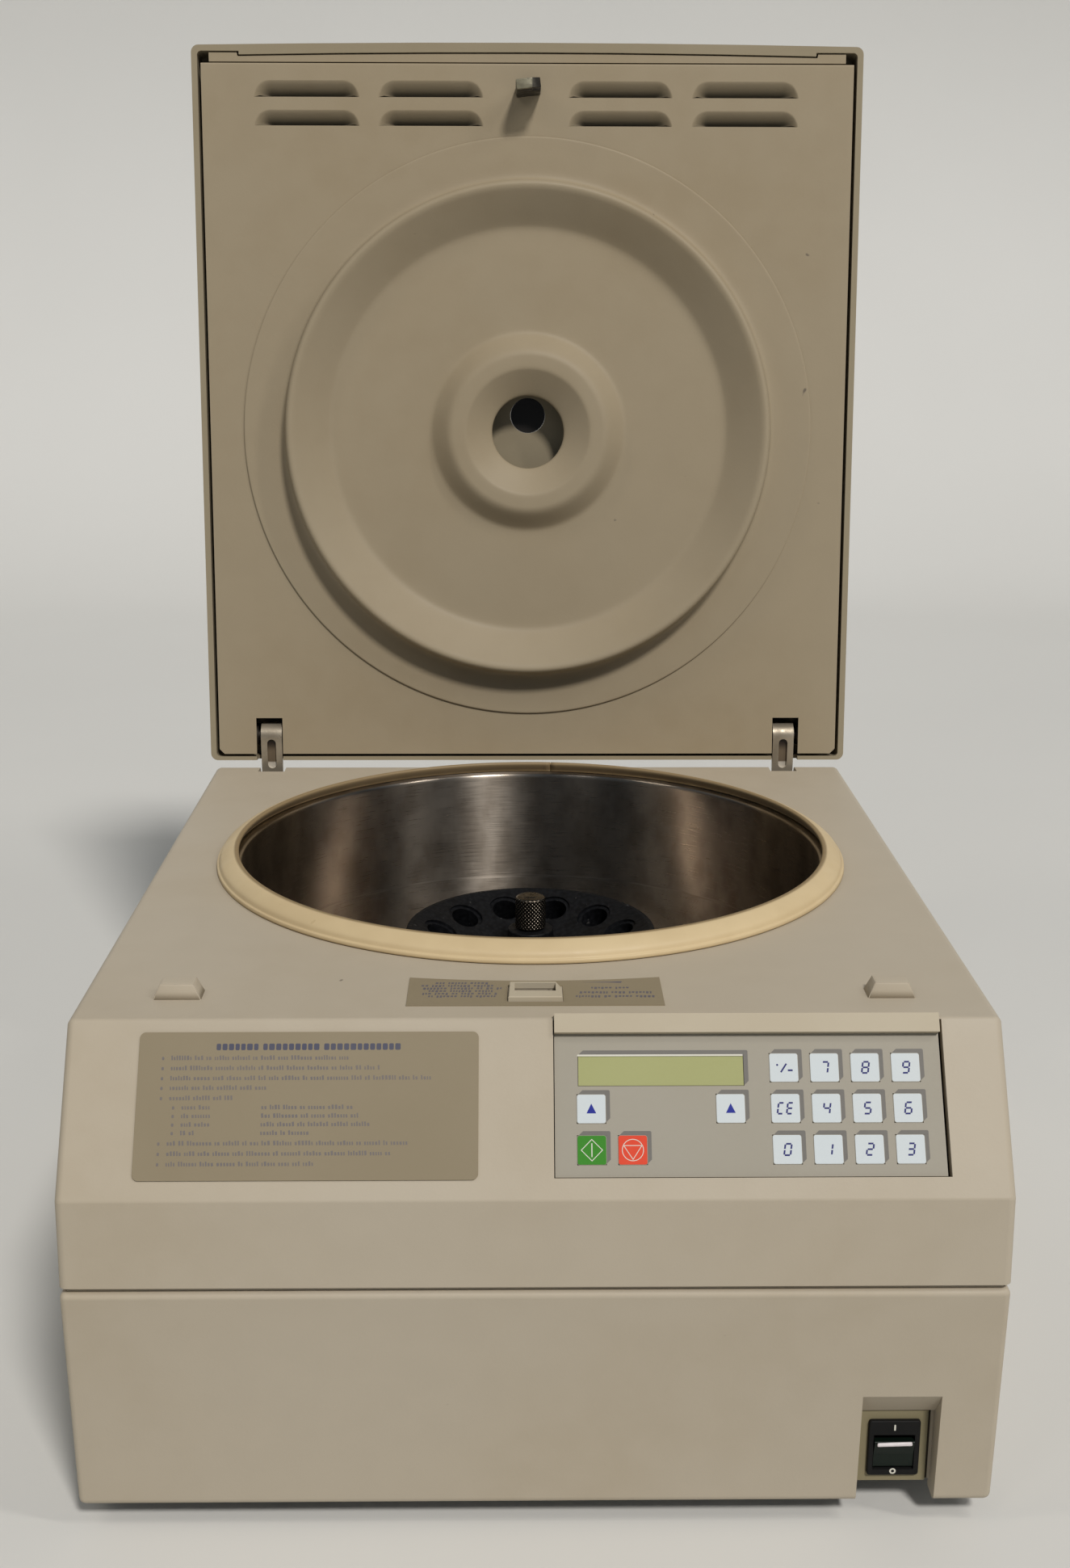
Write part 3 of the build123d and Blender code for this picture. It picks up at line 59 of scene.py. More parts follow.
# ---------------------------------------------------------------- frames of reference
@dataclass(frozen=True)
class BenchFrame:
    """The frame that the case stands in, in millimetres."""

    origin_y: float = ORIGIN_Y

    def metres(self, points: np.ndarray) -> np.ndarray:
        """Points in metres round the model's origin.

        Args:
            points: array whose last axis is x, y, z in millimetres.

        Returns:
            The same array in metres, moved so that the model's origin is at zero.
        """
        return (np.asarray(points, float) - np.array([0.0, self.origin_y, 0.0])) * MILLIMETRE


@dataclass(frozen=True)
class FasciaFrame:
    """The sloped front: x across, s down the slope, n out of it."""

    top_z: float = 252.0
    run: float = 47.4
    drop: float = 71.6

    def place(self, x: np.ndarray, s: np.ndarray, n: np.ndarray) -> np.ndarray:
        """Bench points of fascia coordinates: origin + s * down + n * outward.

        Args:
            x: distance across.
            s: distance down the slope from the top edge.
            n: distance out of the slope.

        Returns:
            Array of bench points, the last axis x, y, z.
        """
        length = math.hypot(self.run, self.drop)
        down_y, down_z = -self.run / length, -self.drop / length
        out_y, out_z = -self.drop / length, self.run / length
        x, s, n = np.broadcast_arrays(np.asarray(x, float), s, n)
        return np.stack([x, s * down_y + n * out_y, self.top_z + s * down_z + n * out_z], axis=-1)


@dataclass(frozen=True)
class LidFrame:
    """The open lid: x across, s up from the rear edge of its panel, h out of the panel."""

    pivot_y: float = 476.94
    pivot_z: float = 273.55
    open_degrees: float = 95.76
    panel_z: float = 264.5
    panel_rear_y: float = 490.6

    def place(self, x: np.ndarray, s: np.ndarray, h: np.ndarray) -> np.ndarray:
        """Bench points of lid coordinates, turned about the hinge pins to the open pose.

        A point of the closed lid lies at y = rear - s, z = panel - h; turning by the open angle
        about the pins gives its open place.

        Args:
            x: distance across.
            s: distance from the panel's rear edge.
            h: distance out of the panel, towards the bowl when closed.

        Returns:
            Array of bench points, the last axis x, y, z.
        """
        x, s, h = np.broadcast_arrays(np.asarray(x, float), s, h)
        y = self.panel_rear_y - s - self.pivot_y
        z = self.panel_z - h - self.pivot_z
        turn = math.radians(-self.open_degrees)
        cos, sin = math.cos(turn), math.sin(turn)
        return np.stack([x, self.pivot_y + y * cos - z * sin, self.pivot_z + y * sin + z * cos], axis=-1)


BENCH = BenchFrame()
FASCIA = FasciaFrame()
LID = LidFrame()


# ---------------------------------------------------------------- surfaces
def grid_faces(rows: int, columns: int, wrap_rows: bool = False, wrap_columns: bool = False) -> np.ndarray:
    """Quads of a grid of rows by columns points, row after row.

    Args:
        rows: number of rows of points.
        columns: number of points in a row.
        wrap_rows: the last row joins the first.
        wrap_columns: the last column joins the first.

    Returns:
        Array of quads, each four point numbers.
    """
    i = np.arange(rows if wrap_rows else rows - 1)
    j = np.arange(columns if wrap_columns else columns - 1)
    i, j = np.meshgrid(i, j, indexing="ij")
    i, j = i.ravel(), j.ravel()
    after_i, after_j = (i + 1) % rows, (j + 1) % columns
    return np.stack([i * columns + j, i * columns + after_j, after_i * columns + after_j,
                     after_i * columns + j], axis=-1)


def rounded(points: Sequence[tuple[float, float]], rounds: int = 2, closed: bool = False) -> np.ndarray:
    """A smoother outline: each round cuts every corner a quarter of the way along its sides.

    Args:
        points: corners of the outline.
        rounds: how many times the corners are cut.
        closed: the outline is a loop.

    Returns:
        The outline's points after the cuts.
    """
    line = np.asarray(points, float)
    for _ in range(rounds):
        first = line if closed else line[:-1]
        second = np.roll(line, -1, axis=0) if closed else line[1:]
        cut = np.stack([0.75 * first + 0.25 * second, 0.25 * first + 0.75 * second], axis=1).reshape(-1, 2)
        line = cut if closed else np.concatenate([line[:1], cut, line[-1:]])
    return line


def arc(centre: tuple[float, float], radius: float, start: float, end: float, count: int) -> np.ndarray:
    """Points of a circular arc, from the start angle to the end angle in degrees.

    Args:
        centre: middle of the circle.
        radius: its radius.
        start: first angle.
        end: last angle.
        count: number of points.

    Returns:
        Array of count points.
    """
    turn = np.radians(np.linspace(start, end, count))
    return np.stack([centre[0] + radius * np.cos(turn), centre[1] + radius * np.sin(turn)], axis=-1)


def rounded_rectangle(x0: float, x1: float, y0: float, y1: float, radius: float, steps: int = 5) -> np.ndarray:
    """Outline of a rectangle whose corners are quarter circles, counter-clockwise.

    Args:
        x0: left side.
        x1: right side.
        y0: lower side.
        y1: upper side.
        radius: corner radius.
        steps: points in each corner.

    Returns:
        The outline's points.
    """
    return np.concatenate([arc((x1 - radius, y0 + radius), radius, -90, 0, steps),
                           arc((x1 - radius, y1 - radius), radius, 0, 90, steps),
                           arc((x0 + radius, y1 - radius), radius, 90, 180, steps),
                           arc((x0 + radius, y0 + radius), radius, 180, 270, steps)])


def mesh_piece(name: str, bench_points: np.ndarray, faces: Iterable[Sequence[int]], body: str,
               material: bpy.types.Material, smooth: bool = True) -> bpy.types.Object:
    """A new piece made of bench points and faces, riding on a body.

    Args:
        name: plain name of the piece.
        bench_points: array of points in millimetres.
        faces: point numbers of every face.
        body: the body that the piece moves with.
        material: its finish.
        smooth: shade it smooth.

    Returns:
        The new object, at the origin and unturned.
    """
    mesh = bpy.data.meshes.new(name)
    points = BENCH.metres(np.asarray(bench_points, float).reshape(-1, 3))
    mesh.from_pydata(points.tolist(), [], [list(map(int, face)) for face in faces])
    mesh.materials.append(material)
    mesh.polygons.foreach_set("use_smooth", np.full(len(mesh.polygons), smooth))
    mesh.update()
    piece = bpy.data.objects.new(name, mesh)
    bpy.context.scene.collection.objects.link(piece)
    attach(piece, body)
    return piece


def add_grid_uv(piece: bpy.types.Object, rows: int, columns: int, size: tuple[float, float]) -> None:
    """Gives a grid piece a UV map: u runs along a row, v from row to row, in the given sizes.

    Args:
        piece: piece whose mesh is one grid of points, row after row.
        rows: number of rows of points.
        columns: number of points in a row.
        size: what u and v reach at the far ends.
    """
    mesh = piece.data
    layer = mesh.uv_layers.new(name="surface")
    corner = np.empty(len(mesh.loops), dtype=np.int64)
    mesh.loops.foreach_get("vertex_index", corner)
    row, column = corner // columns, corner % columns
    u = column / columns
    first = np.repeat(column.reshape(-1, 4).max(axis=1) - column.reshape(-1, 4).min(axis=1) > 1, 4)
    u = np.where(first & (column == 0), 1.0, u)
    values = np.stack([u * size[0], row / max(rows - 1, 1) * size[1]], axis=-1)
    layer.data.foreach_set("uv", values.astype(np.float32).ravel())


def prism(outline: np.ndarray, low: float, high: float) -> tuple[np.ndarray, list[list[int]]]:
    """Closed prism of a flat outline: the outline at two heights, its sides and its two ends.

    Args:
        outline: counter-clockwise outline, seen from above the high end.
        low: height of one end.
        high: height of the other.

    Returns:
        Array of (a, b, height) points, and the faces.
    """
    count = len(outline)
    levels = [np.column_stack([outline, np.full(count, level)]) for level in (low, high)]
    around = np.arange(count)
    sides = np.stack([around, (around + 1) % count, (around + 1) % count + count, around + count], axis=-1)
    faces = [list(face) for face in sides]
    faces.append(list(range(count - 1, -1, -1)))
    faces.append(list(range(count, 2 * count)))
    return np.concatenate(levels), faces


def joined(parts: Sequence[tuple[np.ndarray, Sequence[Sequence[int]]]]) -> tuple[np.ndarray, list[list[int]]]:
    """Several sets of points and faces as one.

    Args:
        parts: pairs of points and faces.

    Returns:
        All the points, and the faces with their numbers moved on.
    """
    points: list[np.ndarray] = []
    faces: list[list[int]] = []
    start = 0
    for some_points, some_faces in parts:
        points.append(some_points)
        faces.extend([[int(number) + start for number in face] for face in some_faces])
        start += len(some_points)
    return np.concatenate(points), faces


def stroke(line: Sequence[tuple[float, float]], width: float, closed: bool = False) -> np.ndarray:
    """Outline of a line of some width: the line moved half the width to each side, mitred.

    Args:
        line: points of the line.
        width: full width.
        closed: the line is a loop, given as two outlines one after the other.

    Returns:
        Outline points; for a loop, the outer ring followed by the inner ring.
    """
    path = np.asarray(line, float)
    if closed:
        before, after = path - np.roll(path, 1, axis=0), np.roll(path, -1, axis=0) - path
    else:
        step = np.diff(path, axis=0)
        before, after = np.vstack([step[:1], step]), np.vstack([step, step[-1:]])
    before = before / np.linalg.norm(before, axis=1, keepdims=True)
    after = after / np.linalg.norm(after, axis=1, keepdims=True)
    normal = np.stack([-(before + after)[:, 1], (before + after)[:, 0]], axis=-1)
    normal /= np.sum(before * after, axis=1, keepdims=True) + 1.0
    left, right = path + normal * width / 2, path - normal * width / 2
    if closed:
        return np.concatenate([right, left])
    return np.concatenate([right, left[::-1]])


def ring_prism(rings: np.ndarray, low: float, high: float) -> tuple[np.ndarray, list[list[int]]]:
    """Closed prism between two rings of as many points, the first outside the second.

    Args:
        rings: outer ring followed by inner ring.
        low: height of one end.
        high: height of the other.

    Returns:
        Array of (a, b, height) points, and the faces.
    """
    count = len(rings) // 2
    outer, inner = rings[:count], rings[count:]
    loop = [np.column_stack([ring, np.full(count, level)])
            for ring, level in ((outer, low), (outer, high), (inner, high), (inner, low))]
    return np.concatenate(loop), grid_faces(4, count, wrap_rows=True, wrap_columns=True).tolist()


# ---------------------------------------------------------------- node trees
class Tree:
    """A node tree with short ways to add and join nodes."""

    def __init__(self, tree: bpy.types.NodeTree) -> None:
        """Keeps the tree and starts the row of nodes."""
        self.tree = tree
        self.at = 0

    def add(self, kind: str, **settings: object) -> bpy.types.Node:
        """Adds a node and sets its own settings."""
        node = self.tree.nodes.new(kind)
        for name, value in settings.items():
            setattr(node, name, value)
        node.location = (self.at % 8 * 190, -(self.at // 8) * 260)
        self.at += 1
        return node

    def put(self, node: bpy.types.Node, name: str | int, value: object) -> None:
        """Sets an input of a node, or joins it to an output."""
        if isinstance(value, bpy.types.NodeSocket):
            self.tree.links.new(value, node.inputs[name])
        else:
            node.inputs[name].default_value = value

    def noise(self, vector: object, scale: float, detail: float = 3.0, roughness: float = 0.5,
              kind: str = "FBM") -> bpy.types.NodeSocket:
        """A noise between about 0.2 and 0.8 over a vector."""
        node = self.add("ShaderNodeTexNoise", noise_type=kind)
        self.put(node, "Vector", vector)
        self.put(node, "Scale", scale)
        self.put(node, "Detail", detail)
        self.put(node, "Roughness", roughness)
        return node.outputs["Fac"]

    def range(self, value: object, low: float, high: float, to_low: float, to_high: float,
              smooth: bool = False) -> bpy.types.NodeSocket:
        """Maps a value from one range to another, clamped."""
        node = self.add("ShaderNodeMapRange", interpolation_type="SMOOTHSTEP" if smooth else "LINEAR")
        self.put(node, "Value", value)
        for name, number in (("From Min", low), ("From Max", high), ("To Min", to_low), ("To Max", to_high)):
            self.put(node, name, number)
        return node.outputs["Result"]

    def math(self, operation: str, first: object, second: object = 0.5) -> bpy.types.NodeSocket:
        """One sum of two values."""
        node = self.add("ShaderNodeMath", operation=operation)
        self.put(node, 0, first)
        self.put(node, 1, second)
        return node.outputs[0]

    def mix(self, factor: object, first: object, second: object, blend: str = "MIX") -> bpy.types.NodeSocket:
        """Mixes two colours.

        Args:
            factor: share of the second colour, a number or a socket.
            first: first colour, or a socket.
            second: second colour, or a socket.
            blend: how they mix.

        Returns:
            The mixed colour's socket.
        """
        node = self.add("ShaderNodeMix", data_type="RGBA", blend_type=blend)
        self.put(node, "Factor", factor)
        for name, value in (("A", first), ("B", second)):
            socket = next(s for s in node.inputs if s.name == name and s.type == "RGBA")
            if isinstance(value, bpy.types.NodeSocket):
                self.tree.links.new(value, socket)
            else:
                socket.default_value = (*value, 1.0)
        return next(s for s in node.outputs if s.type == "RGBA")

    def mapping(self, vector: object, scale: Colour = (1.0, 1.0, 1.0), place: Colour = (0.0, 0.0, 0.0),
                turn: Colour = (0.0, 0.0, 0.0)) -> bpy.types.NodeSocket:
        """Moves, turns and stretches a vector."""
        node = self.add("ShaderNodeMapping")
        self.put(node, "Vector", vector)
        self.put(node, "Location", place)
        self.put(node, "Rotation", turn)
        self.put(node, "Scale", scale)
        return node.outputs["Vector"]


class Effect(Enum):
    """Surface effects that several finishes share."""

    GRAIN = "fine grain"
    GRIME = "handling grime"


class EffectLibrary:
    """Builds each shared effect once, as a shader node group."""

    def __init__(self) -> None:
        """Starts with no group made."""
        self.groups: dict[Effect, bpy.types.NodeTree] = {}

    def group(self, effect: Effect) -> bpy.types.NodeTree:
        """The node group of an effect, made when it is first asked for.

        Args:
            effect: which effect.

        Returns:
            The shader node group.
        """
        if effect not in self.groups:
            makers: dict[Effect, Callable[[], bpy.types.NodeTree]] = {
                Effect.GRAIN: self._grain, Effect.GRIME: self._grime}
            self.groups[effect] = makers[effect]()
        return self.groups[effect]

    def place(self, tree: Tree, effect: Effect, vector: bpy.types.NodeSocket,
              **values: float) -> bpy.types.Node:
        """Places an effect in a material with its own values."""
        node = tree.add("ShaderNodeGroup", node_tree=self.group(effect))
        tree.put(node, "Vector", vector)
        for name, value in values.items():
            tree.put(node, name.replace("_", " ").title(), value)
        return node

    @staticmethod
    def _sockets(name: str, inputs: Sequence[tuple[str, float]], outputs: Sequence[str]) -> Tree:
        """A new group with a vector input, named numbers and named outputs."""
        tree = bpy.data.node_groups.new(name, "ShaderNodeTree")
        tree.interface.new_socket("Vector", in_out="INPUT", socket_type="NodeSocketVector")
        for label, value in inputs:
            tree.interface.new_socket(label, in_out="INPUT", socket_type="NodeSocketFloat").default_value = value
        for label in outputs:
            tree.interface.new_socket(label, in_out="OUTPUT", socket_type="NodeSocketFloat")
        return Tree(tree)

    def _grain(self) -> bpy.types.NodeTree:
        """Orange-peel grain: a fine noise plus a coarser one, as a height and as a tint mask."""
        tree = self._sockets(Effect.GRAIN.value, [("Size", 700.0), ("Coarse Size", 60.0)], ["Height", "Tint"])
        start, end = tree.add("NodeGroupInput"), tree.add("NodeGroupOutput")
        fine = tree.add("ShaderNodeTexNoise")
        coarse = tree.add("ShaderNodeTexNoise")
        for node, socket in ((fine, "Size"), (coarse, "Coarse Size")):
            tree.put(node, "Vector", start.outputs["Vector"])
            tree.put(node, "Scale", start.outputs[socket])
            tree.put(node, "Detail", 3.0)
        tree.put(end, "Height", tree.math("ADD", fine.outputs["Fac"], coarse.outputs["Fac"]))
        tree.put(end, "Tint", tree.range(coarse.outputs["Fac"], 0.3, 0.7, 0.0, 1.0, smooth=True))
        return tree.tree

    def _grime(self) -> bpy.types.NodeTree:
        """Patchy grime: broad clouds broken up by a finer noise, and a few dark specks."""
        tree = self._sockets(Effect.GRIME.value, [("Size", 7.0), ("Speck Size", 130.0), ("Speck Limit", 0.76)],
                             ["Clouds", "Specks"])
        start, end = tree.add("NodeGroupInput"), tree.add("NodeGroupOutput")
        clouds = tree.add("ShaderNodeTexNoise")
        specks = tree.add("ShaderNodeTexNoise")
        for node, socket, detail in ((clouds, "Size", 6.0), (specks, "Speck Size", 1.0)):
            tree.put(node, "Vector", start.outputs["Vector"])
            tree.put(node, "Scale", start.outputs[socket])
            tree.put(node, "Detail", detail)
        tree.put(end, "Clouds", tree.range(clouds.outputs["Fac"], 0.35, 0.7, 0.0, 1.0, smooth=True))
        above = tree.math("SUBTRACT", specks.outputs["Fac"], start.outputs["Speck Limit"])
        tree.put(end, "Specks", tree.range(above, 0.0, 0.03, 0.0, 1.0))
        return tree.tree


EFFECTS = EffectLibrary()


@dataclass(frozen=True)
class Finish:
    """What every finish has: a name and a way to become a material."""

    name: str

    def start(self) -> tuple[Tree, bpy.types.Node, bpy.types.NodeSocket]:
        """A new material's tree, its Principled shader and the object coordinates."""
        material = bpy.data.materials.new(self.name)
        material.use_nodes = True
        tree = Tree(material.node_tree)
        material.node_tree.nodes.clear()
        shader = tree.add("ShaderNodeBsdfPrincipled")
        output = tree.add("ShaderNodeOutputMaterial")
        tree.put(output, "Surface", shader.outputs["BSDF"])
        vector = tree.add("ShaderNodeTexCoord").outputs["Object"]
        return tree, shader, vector

    def bump(self, tree: Tree, shader: bpy.types.Node, height: object, strength: float, reach: float) -> None:
        """Joins a height to the shader's normal through a Bump node."""
        node = tree.add("ShaderNodeBump")
        tree.put(node, "Height", height)
        tree.put(node, "Strength", strength)
        tree.put(node, "Distance", reach)
        tree.put(shader, "Normal", node.outputs["Normal"])

    def material(self) -> bpy.types.Material:
        """The material of this finish, made once."""
        if self.name in bpy.data.materials:
            return bpy.data.materials[self.name]
        self.build()
        return bpy.data.materials[self.name]

    def build(self) -> None:
        """Builds the nodes; each finish has its own."""
        raise NotImplementedError


@dataclass(frozen=True)
class Paint(Finish):
    """Sprayed paint with orange peel, faint clouds of grime and a few specks."""

    colour: Colour = (0.472, 0.411, 0.320)
    aged: Colour = (0.432, 0.361, 0.260)
    speck: Colour = (0.12, 0.10, 0.08)
    roughness: float = 0.52
    peel: float = 0.14
    grain_size: float = 650.0
    grime: float = 0.5
    speck_limit: float = 0.815
    gloss: float = 0.22

    def build(self) -> None:
        """Mixes fresh and aged paint by the clouds, adds specks, and bumps it with the grain."""
        tree, shader, vector = self.start()
        grain = EFFECTS.place(tree, Effect.GRAIN, vector, size=self.grain_size, coarse_size=45.0)
        grime = EFFECTS.place(tree, Effect.GRIME, vector, size=6.0, speck_size=95.0, speck_limit=self.speck_limit)
        clouds = tree.math("MULTIPLY", grime.outputs["Clouds"], self.grime)
        colour = tree.mix(clouds, self.colour, self.aged)
        lighter = tuple(min(1.0, c * 1.05) for c in self.colour)
        colour = tree.mix(tree.math("MULTIPLY", grain.outputs["Tint"], 0.35), colour, lighter)
        colour = tree.mix(tree.math("MULTIPLY", grime.outputs["Specks"], 0.8), colour, self.speck)
        tree.put(shader, "Base Color", colour)
        tree.put(shader, "Roughness", tree.range(grime.outputs["Clouds"], 0.0, 1.0, self.roughness - 0.04,
                                                 self.roughness + 0.06))
        tree.put(shader, "Specular IOR Level", self.gloss)
        self.bump(tree, shader, grain.outputs["Height"], self.peel, 0.0003)


@dataclass(frozen=True)
class Rubber(Finish):
    """Moulded rubber: matt, slightly mottled, darker where dirt gathers."""

    colour: Colour = (0.6, 0.46, 0.28)
    dirty: Colour = (0.42, 0.30, 0.16)
    roughness: float = 0.55
    dirt: float = 0.5

    def build(self) -> None:
        """Mixes clean and dirty rubber by clouds and gives it a fine skin."""
        tree, shader, vector = self.start()
        grain = EFFECTS.place(tree, Effect.GRAIN, vector, size=500.0, coarse_size=80.0)
        grime = EFFECTS.place(tree, Effect.GRIME, vector, size=22.0, speck_size=160.0, speck_limit=0.78)
        colour = tree.mix(tree.math("MULTIPLY", grime.outputs["Clouds"], self.dirt), self.colour, self.dirty)
        colour = tree.mix(tree.math("MULTIPLY", grime.outputs["Specks"], 0.5), colour, self.dirty)
        tree.put(shader, "Base Color", self.tint(tree, vector, colour))
        tree.put(shader, "Roughness", tree.range(grain.outputs["Tint"], 0.0, 1.0, self.roughness - 0.05,
                                                 self.roughness + 0.08))
        self.bump(tree, shader, grain.outputs["Height"], 0.12, 0.0003)

    def tint(self, tree: Tree, vector: bpy.types.NodeSocket, colour: bpy.types.NodeSocket) -> bpy.types.NodeSocket:
        """A place for a colour that depends on where the point is; plain rubber keeps its own."""
        return colour


@dataclass(frozen=True)
class SealRubber(Rubber):
    """Seal rubber whose inner lip is painted darker as shade, measured from the bowl's axis."""

    centre_y: float = 16.9058
    lip_radius: float = 179.4
    lip_width: float = 1.6
    # painted shade: the inner lip's darker tone stands in for the shade where the lip faces down
    lip_shade: Colour = (0.24, 0.165, 0.08)

    def tint(self, tree: Tree, vector: bpy.types.NodeSocket, colour: bpy.types.NodeSocket) -> bpy.types.NodeSocket:
        """The colour turns to the lip's painted shade where the distance from the axis is below the lip's radius."""
        flat = tree.mapping(vector, scale=(1.0, 1.0, 0.0), place=(0.0, -self.centre_y * MILLIMETRE, 0.0))
        reach = tree.add("ShaderNodeVectorMath", operation="LENGTH")
        tree.put(reach, 0, flat)
        inner = self.lip_radius * MILLIMETRE
        near = tree.range(reach.outputs["Value"], inner, inner + self.lip_width * MILLIMETRE, 0.9, 0.0, smooth=True)
        return tree.mix(near, colour, self.lip_shade)


@dataclass(frozen=True)
class Metal(Finish):
    """Bare metal with fine working marks along one direction of the object."""

    colour: Colour = (0.55, 0.53, 0.50)
    stained: Colour = (0.35, 0.32, 0.28)
    roughness: float = 0.32
    along: Colour = (1.0, 1.0, 0.02)
    line_size: float = 900.0
    relief: float = 0.2
    stain: float = 0.5

    def build(self) -> None:
        """Stretches noise along the working direction for roughness and relief; clouds stain it."""
        tree, shader, vector = self.start()
        lines = tree.noise(tree.mapping(vector, scale=self.along), self.line_size, detail=4.0)
        grime = EFFECTS.place(tree, Effect.GRIME, vector, size=38.0, speck_size=300.0, speck_limit=0.74)
        colour = tree.mix(tree.math("MULTIPLY", grime.outputs["Clouds"], self.stain), self.colour, self.stained)
        tree.put(shader, "Base Color", colour)
        tree.put(shader, "Metallic", 1.0)
        tree.put(shader, "Roughness", tree.range(lines, 0.3, 0.7, self.roughness - 0.08, self.roughness + 0.1))
        self.bump(tree, shader, lines, self.relief, 0.0001)


@dataclass(frozen=True)
class StrikerSteel(Finish):
    """Hook steel painted with light and shade: a pale lit end and dark shaded sides, told apart by where they lie
    when the lid is open.
    """

    # painted light: the pale tone of the lit end face
    colour: Colour = (0.235, 0.215, 0.145)
    stained: Colour = (0.15, 0.135, 0.09)
    # painted shade on the sides, underside and ramp side; also the colour of the dark specks
    shade_and_speck_dark: Colour = (0.030, 0.026, 0.020)
    tip_y: float = 239.1
    plate_right: float = 2.4
    roughness: float = 0.5

    def build(self) -> None:
        """Pale near the tip and left of the ramp as a painted highlight on the lit end face; dark everywhere else as
        painted shade.
        """
        tree, shader, vector = self.start()
        parts = tree.add("ShaderNodeSeparateXYZ")
        tree.put(parts, "Vector", vector)
        front = self.tip_y * MILLIMETRE
        tip = tree.range(parts.outputs["Y"], front + 0.0009, front + 0.0016, 1.0, 0.0)
        right = self.plate_right * MILLIMETRE
        plate = tree.range(parts.outputs["X"], right, right + 0.0004, 1.0, 0.15)
        grime = EFFECTS.place(tree, Effect.GRIME, vector, size=260.0, speck_size=700.0, speck_limit=0.7)
        painted_light = tree.mix(grime.outputs["Clouds"], self.colour, self.stained)
        painted_light = tree.mix(tree.math("MULTIPLY", grime.outputs["Specks"], 0.5), painted_light, self.shade_and_speck_dark)
        # painted light on the end face, painted shade everywhere else
        tree.put(shader, "Base Color", tree.mix(tree.math("MULTIPLY", tip, plate), self.shade_and_speck_dark, painted_light))
        tree.put(shader, "Metallic", 0.25)
        tree.put(shader, "Roughness", tree.range(grime.outputs["Clouds"], 0.0, 1.0, self.roughness - 0.1,
                                                 self.roughness + 0.1))
        self.bump(tree, shader, grime.outputs["Clouds"], 0.3, 0.0003)


@dataclass(frozen=True)
class SpunSteel(Finish):
    """Stainless steel brushed round its axis, on a piece whose UV map runs round it."""

    colour: Colour = (0.46, 0.40, 0.335)
    stained: Colour = (0.22, 0.18, 0.14)
    roughness: float = 0.295

    def build(self) -> None:
        """Noise stretched round the piece gives the brush lines; the shader stretches its gloss across them."""
        tree, shader, vector = self.start()
        around = tree.add("ShaderNodeUVMap", uv_map="surface").outputs["UV"]
        lines = tree.noise(tree.mapping(around, scale=(1.5, 160.0, 1.0)), 6.0, detail=5.0)
        wide = tree.noise(tree.mapping(around, scale=(3.0, 5.0, 1.0)), 3.0, detail=3.0)
        grime = EFFECTS.place(tree, Effect.GRIME, vector, size=18.0, speck_size=120.0, speck_limit=0.8)
        colour = tree.mix(tree.range(wide, 0.35, 0.7, 0.0, 0.6, smooth=True), self.colour, self.stained)
        colour = tree.mix(tree.math("MULTIPLY", grime.outputs["Specks"], 0.6), colour, (0.1, 0.09, 0.08))
        tree.put(shader, "Base Color", colour)
        tree.put(shader, "Metallic", 1.0)
        tree.put(shader, "Roughness", tree.range(lines, 0.3, 0.7, self.roughness - 0.03, self.roughness + 0.03))
        tree.put(shader, "Anisotropic", 0.95)
        tree.put(shader, "Anisotropic Rotation", 0.25)
        tangent = tree.add("ShaderNodeTangent", direction_type="UV_MAP", uv_map="surface")
        tree.put(shader, "Tangent", tangent.outputs["Tangent"])
        self.bump(tree, shader, lines, 0.012, 0.00006)


@dataclass(frozen=True)
class HingeSteel(Finish):
    """Plated strap whose pressed groove is painted darker as shade: pale in front, brown where it lies deeper, with a
    painted shadow at its upper end and a painted highlight at its lower end.
    """

    colour: Colour = (0.40, 0.345, 0.265)
    stained: Colour = (0.25, 0.21, 0.155)
    # painted shade: the groove's brown and near-black upper end stand in for shade, the pale lower end for a
    # highlight
    groove: Colour = (0.15, 0.11, 0.07)
    groove_top_shadow: Colour = (0.022, 0.013, 0.008)
    groove_end_highlight: Colour = (0.55, 0.50, 0.42)
    roughness: float = 0.42
    front_y: float = 467.44
    groove_reach: float = 0.9

    def build(self) -> None:
        """A ramp over the distance behind the strap's front face turns plating into the groove's painted shade and
        highlight.
        """
        tree, shader, vector = self.start()
        parts = tree.add("ShaderNodeSeparateXYZ")
        tree.put(parts, "Vector", vector)
        front = (self.front_y - ORIGIN_Y) * MILLIMETRE
        deep = tree.range(parts.outputs["Y"], front + 0.0003, front + self.groove_reach * MILLIMETRE, 0.0, 1.0)
        low = tree.range(parts.outputs["Z"], 0.272, 0.2745, 1.0, 0.0)
        # mask of the groove's painted shade
        groove_shade_mask = tree.math("MULTIPLY", deep, low)
        grain = EFFECTS.place(tree, Effect.GRAIN, vector, size=900.0, coarse_size=140.0)
        grime = EFFECTS.place(tree, Effect.GRIME, vector, size=70.0, speck_size=420.0, speck_limit=0.72)
        colour = tree.mix(grime.outputs["Clouds"], self.colour, self.stained)
        colour = tree.mix(tree.math("MULTIPLY", grime.outputs["Specks"], 0.6), colour, (0.10, 0.08, 0.05))
        # painted shadow towards the groove's upper end, painted highlight at its lower end
        upper = tree.range(parts.outputs["Z"], 0.2625, 0.2695, 0.0, 1.0, smooth=True)
        painted_light = tree.range(parts.outputs["Z"], 0.2545, 0.2560, 1.0, 0.0, smooth=True)
        groove_light_and_shade = tree.mix(painted_light, tree.mix(upper, self.groove, self.groove_top_shadow), self.groove_end_highlight)
        tree.put(shader, "Base Color", tree.mix(groove_shade_mask, colour, groove_light_and_shade))
        tree.put(shader, "Metallic", tree.range(groove_shade_mask, 0.0, 1.0, 0.55, 0.1))
        tree.put(shader, "Roughness", tree.range(grain.outputs["Tint"], 0.0, 1.0, self.roughness - 0.08,
                                                 self.roughness + 0.1))
        self.bump(tree, shader, grain.outputs["Height"], 0.3, 0.0002)


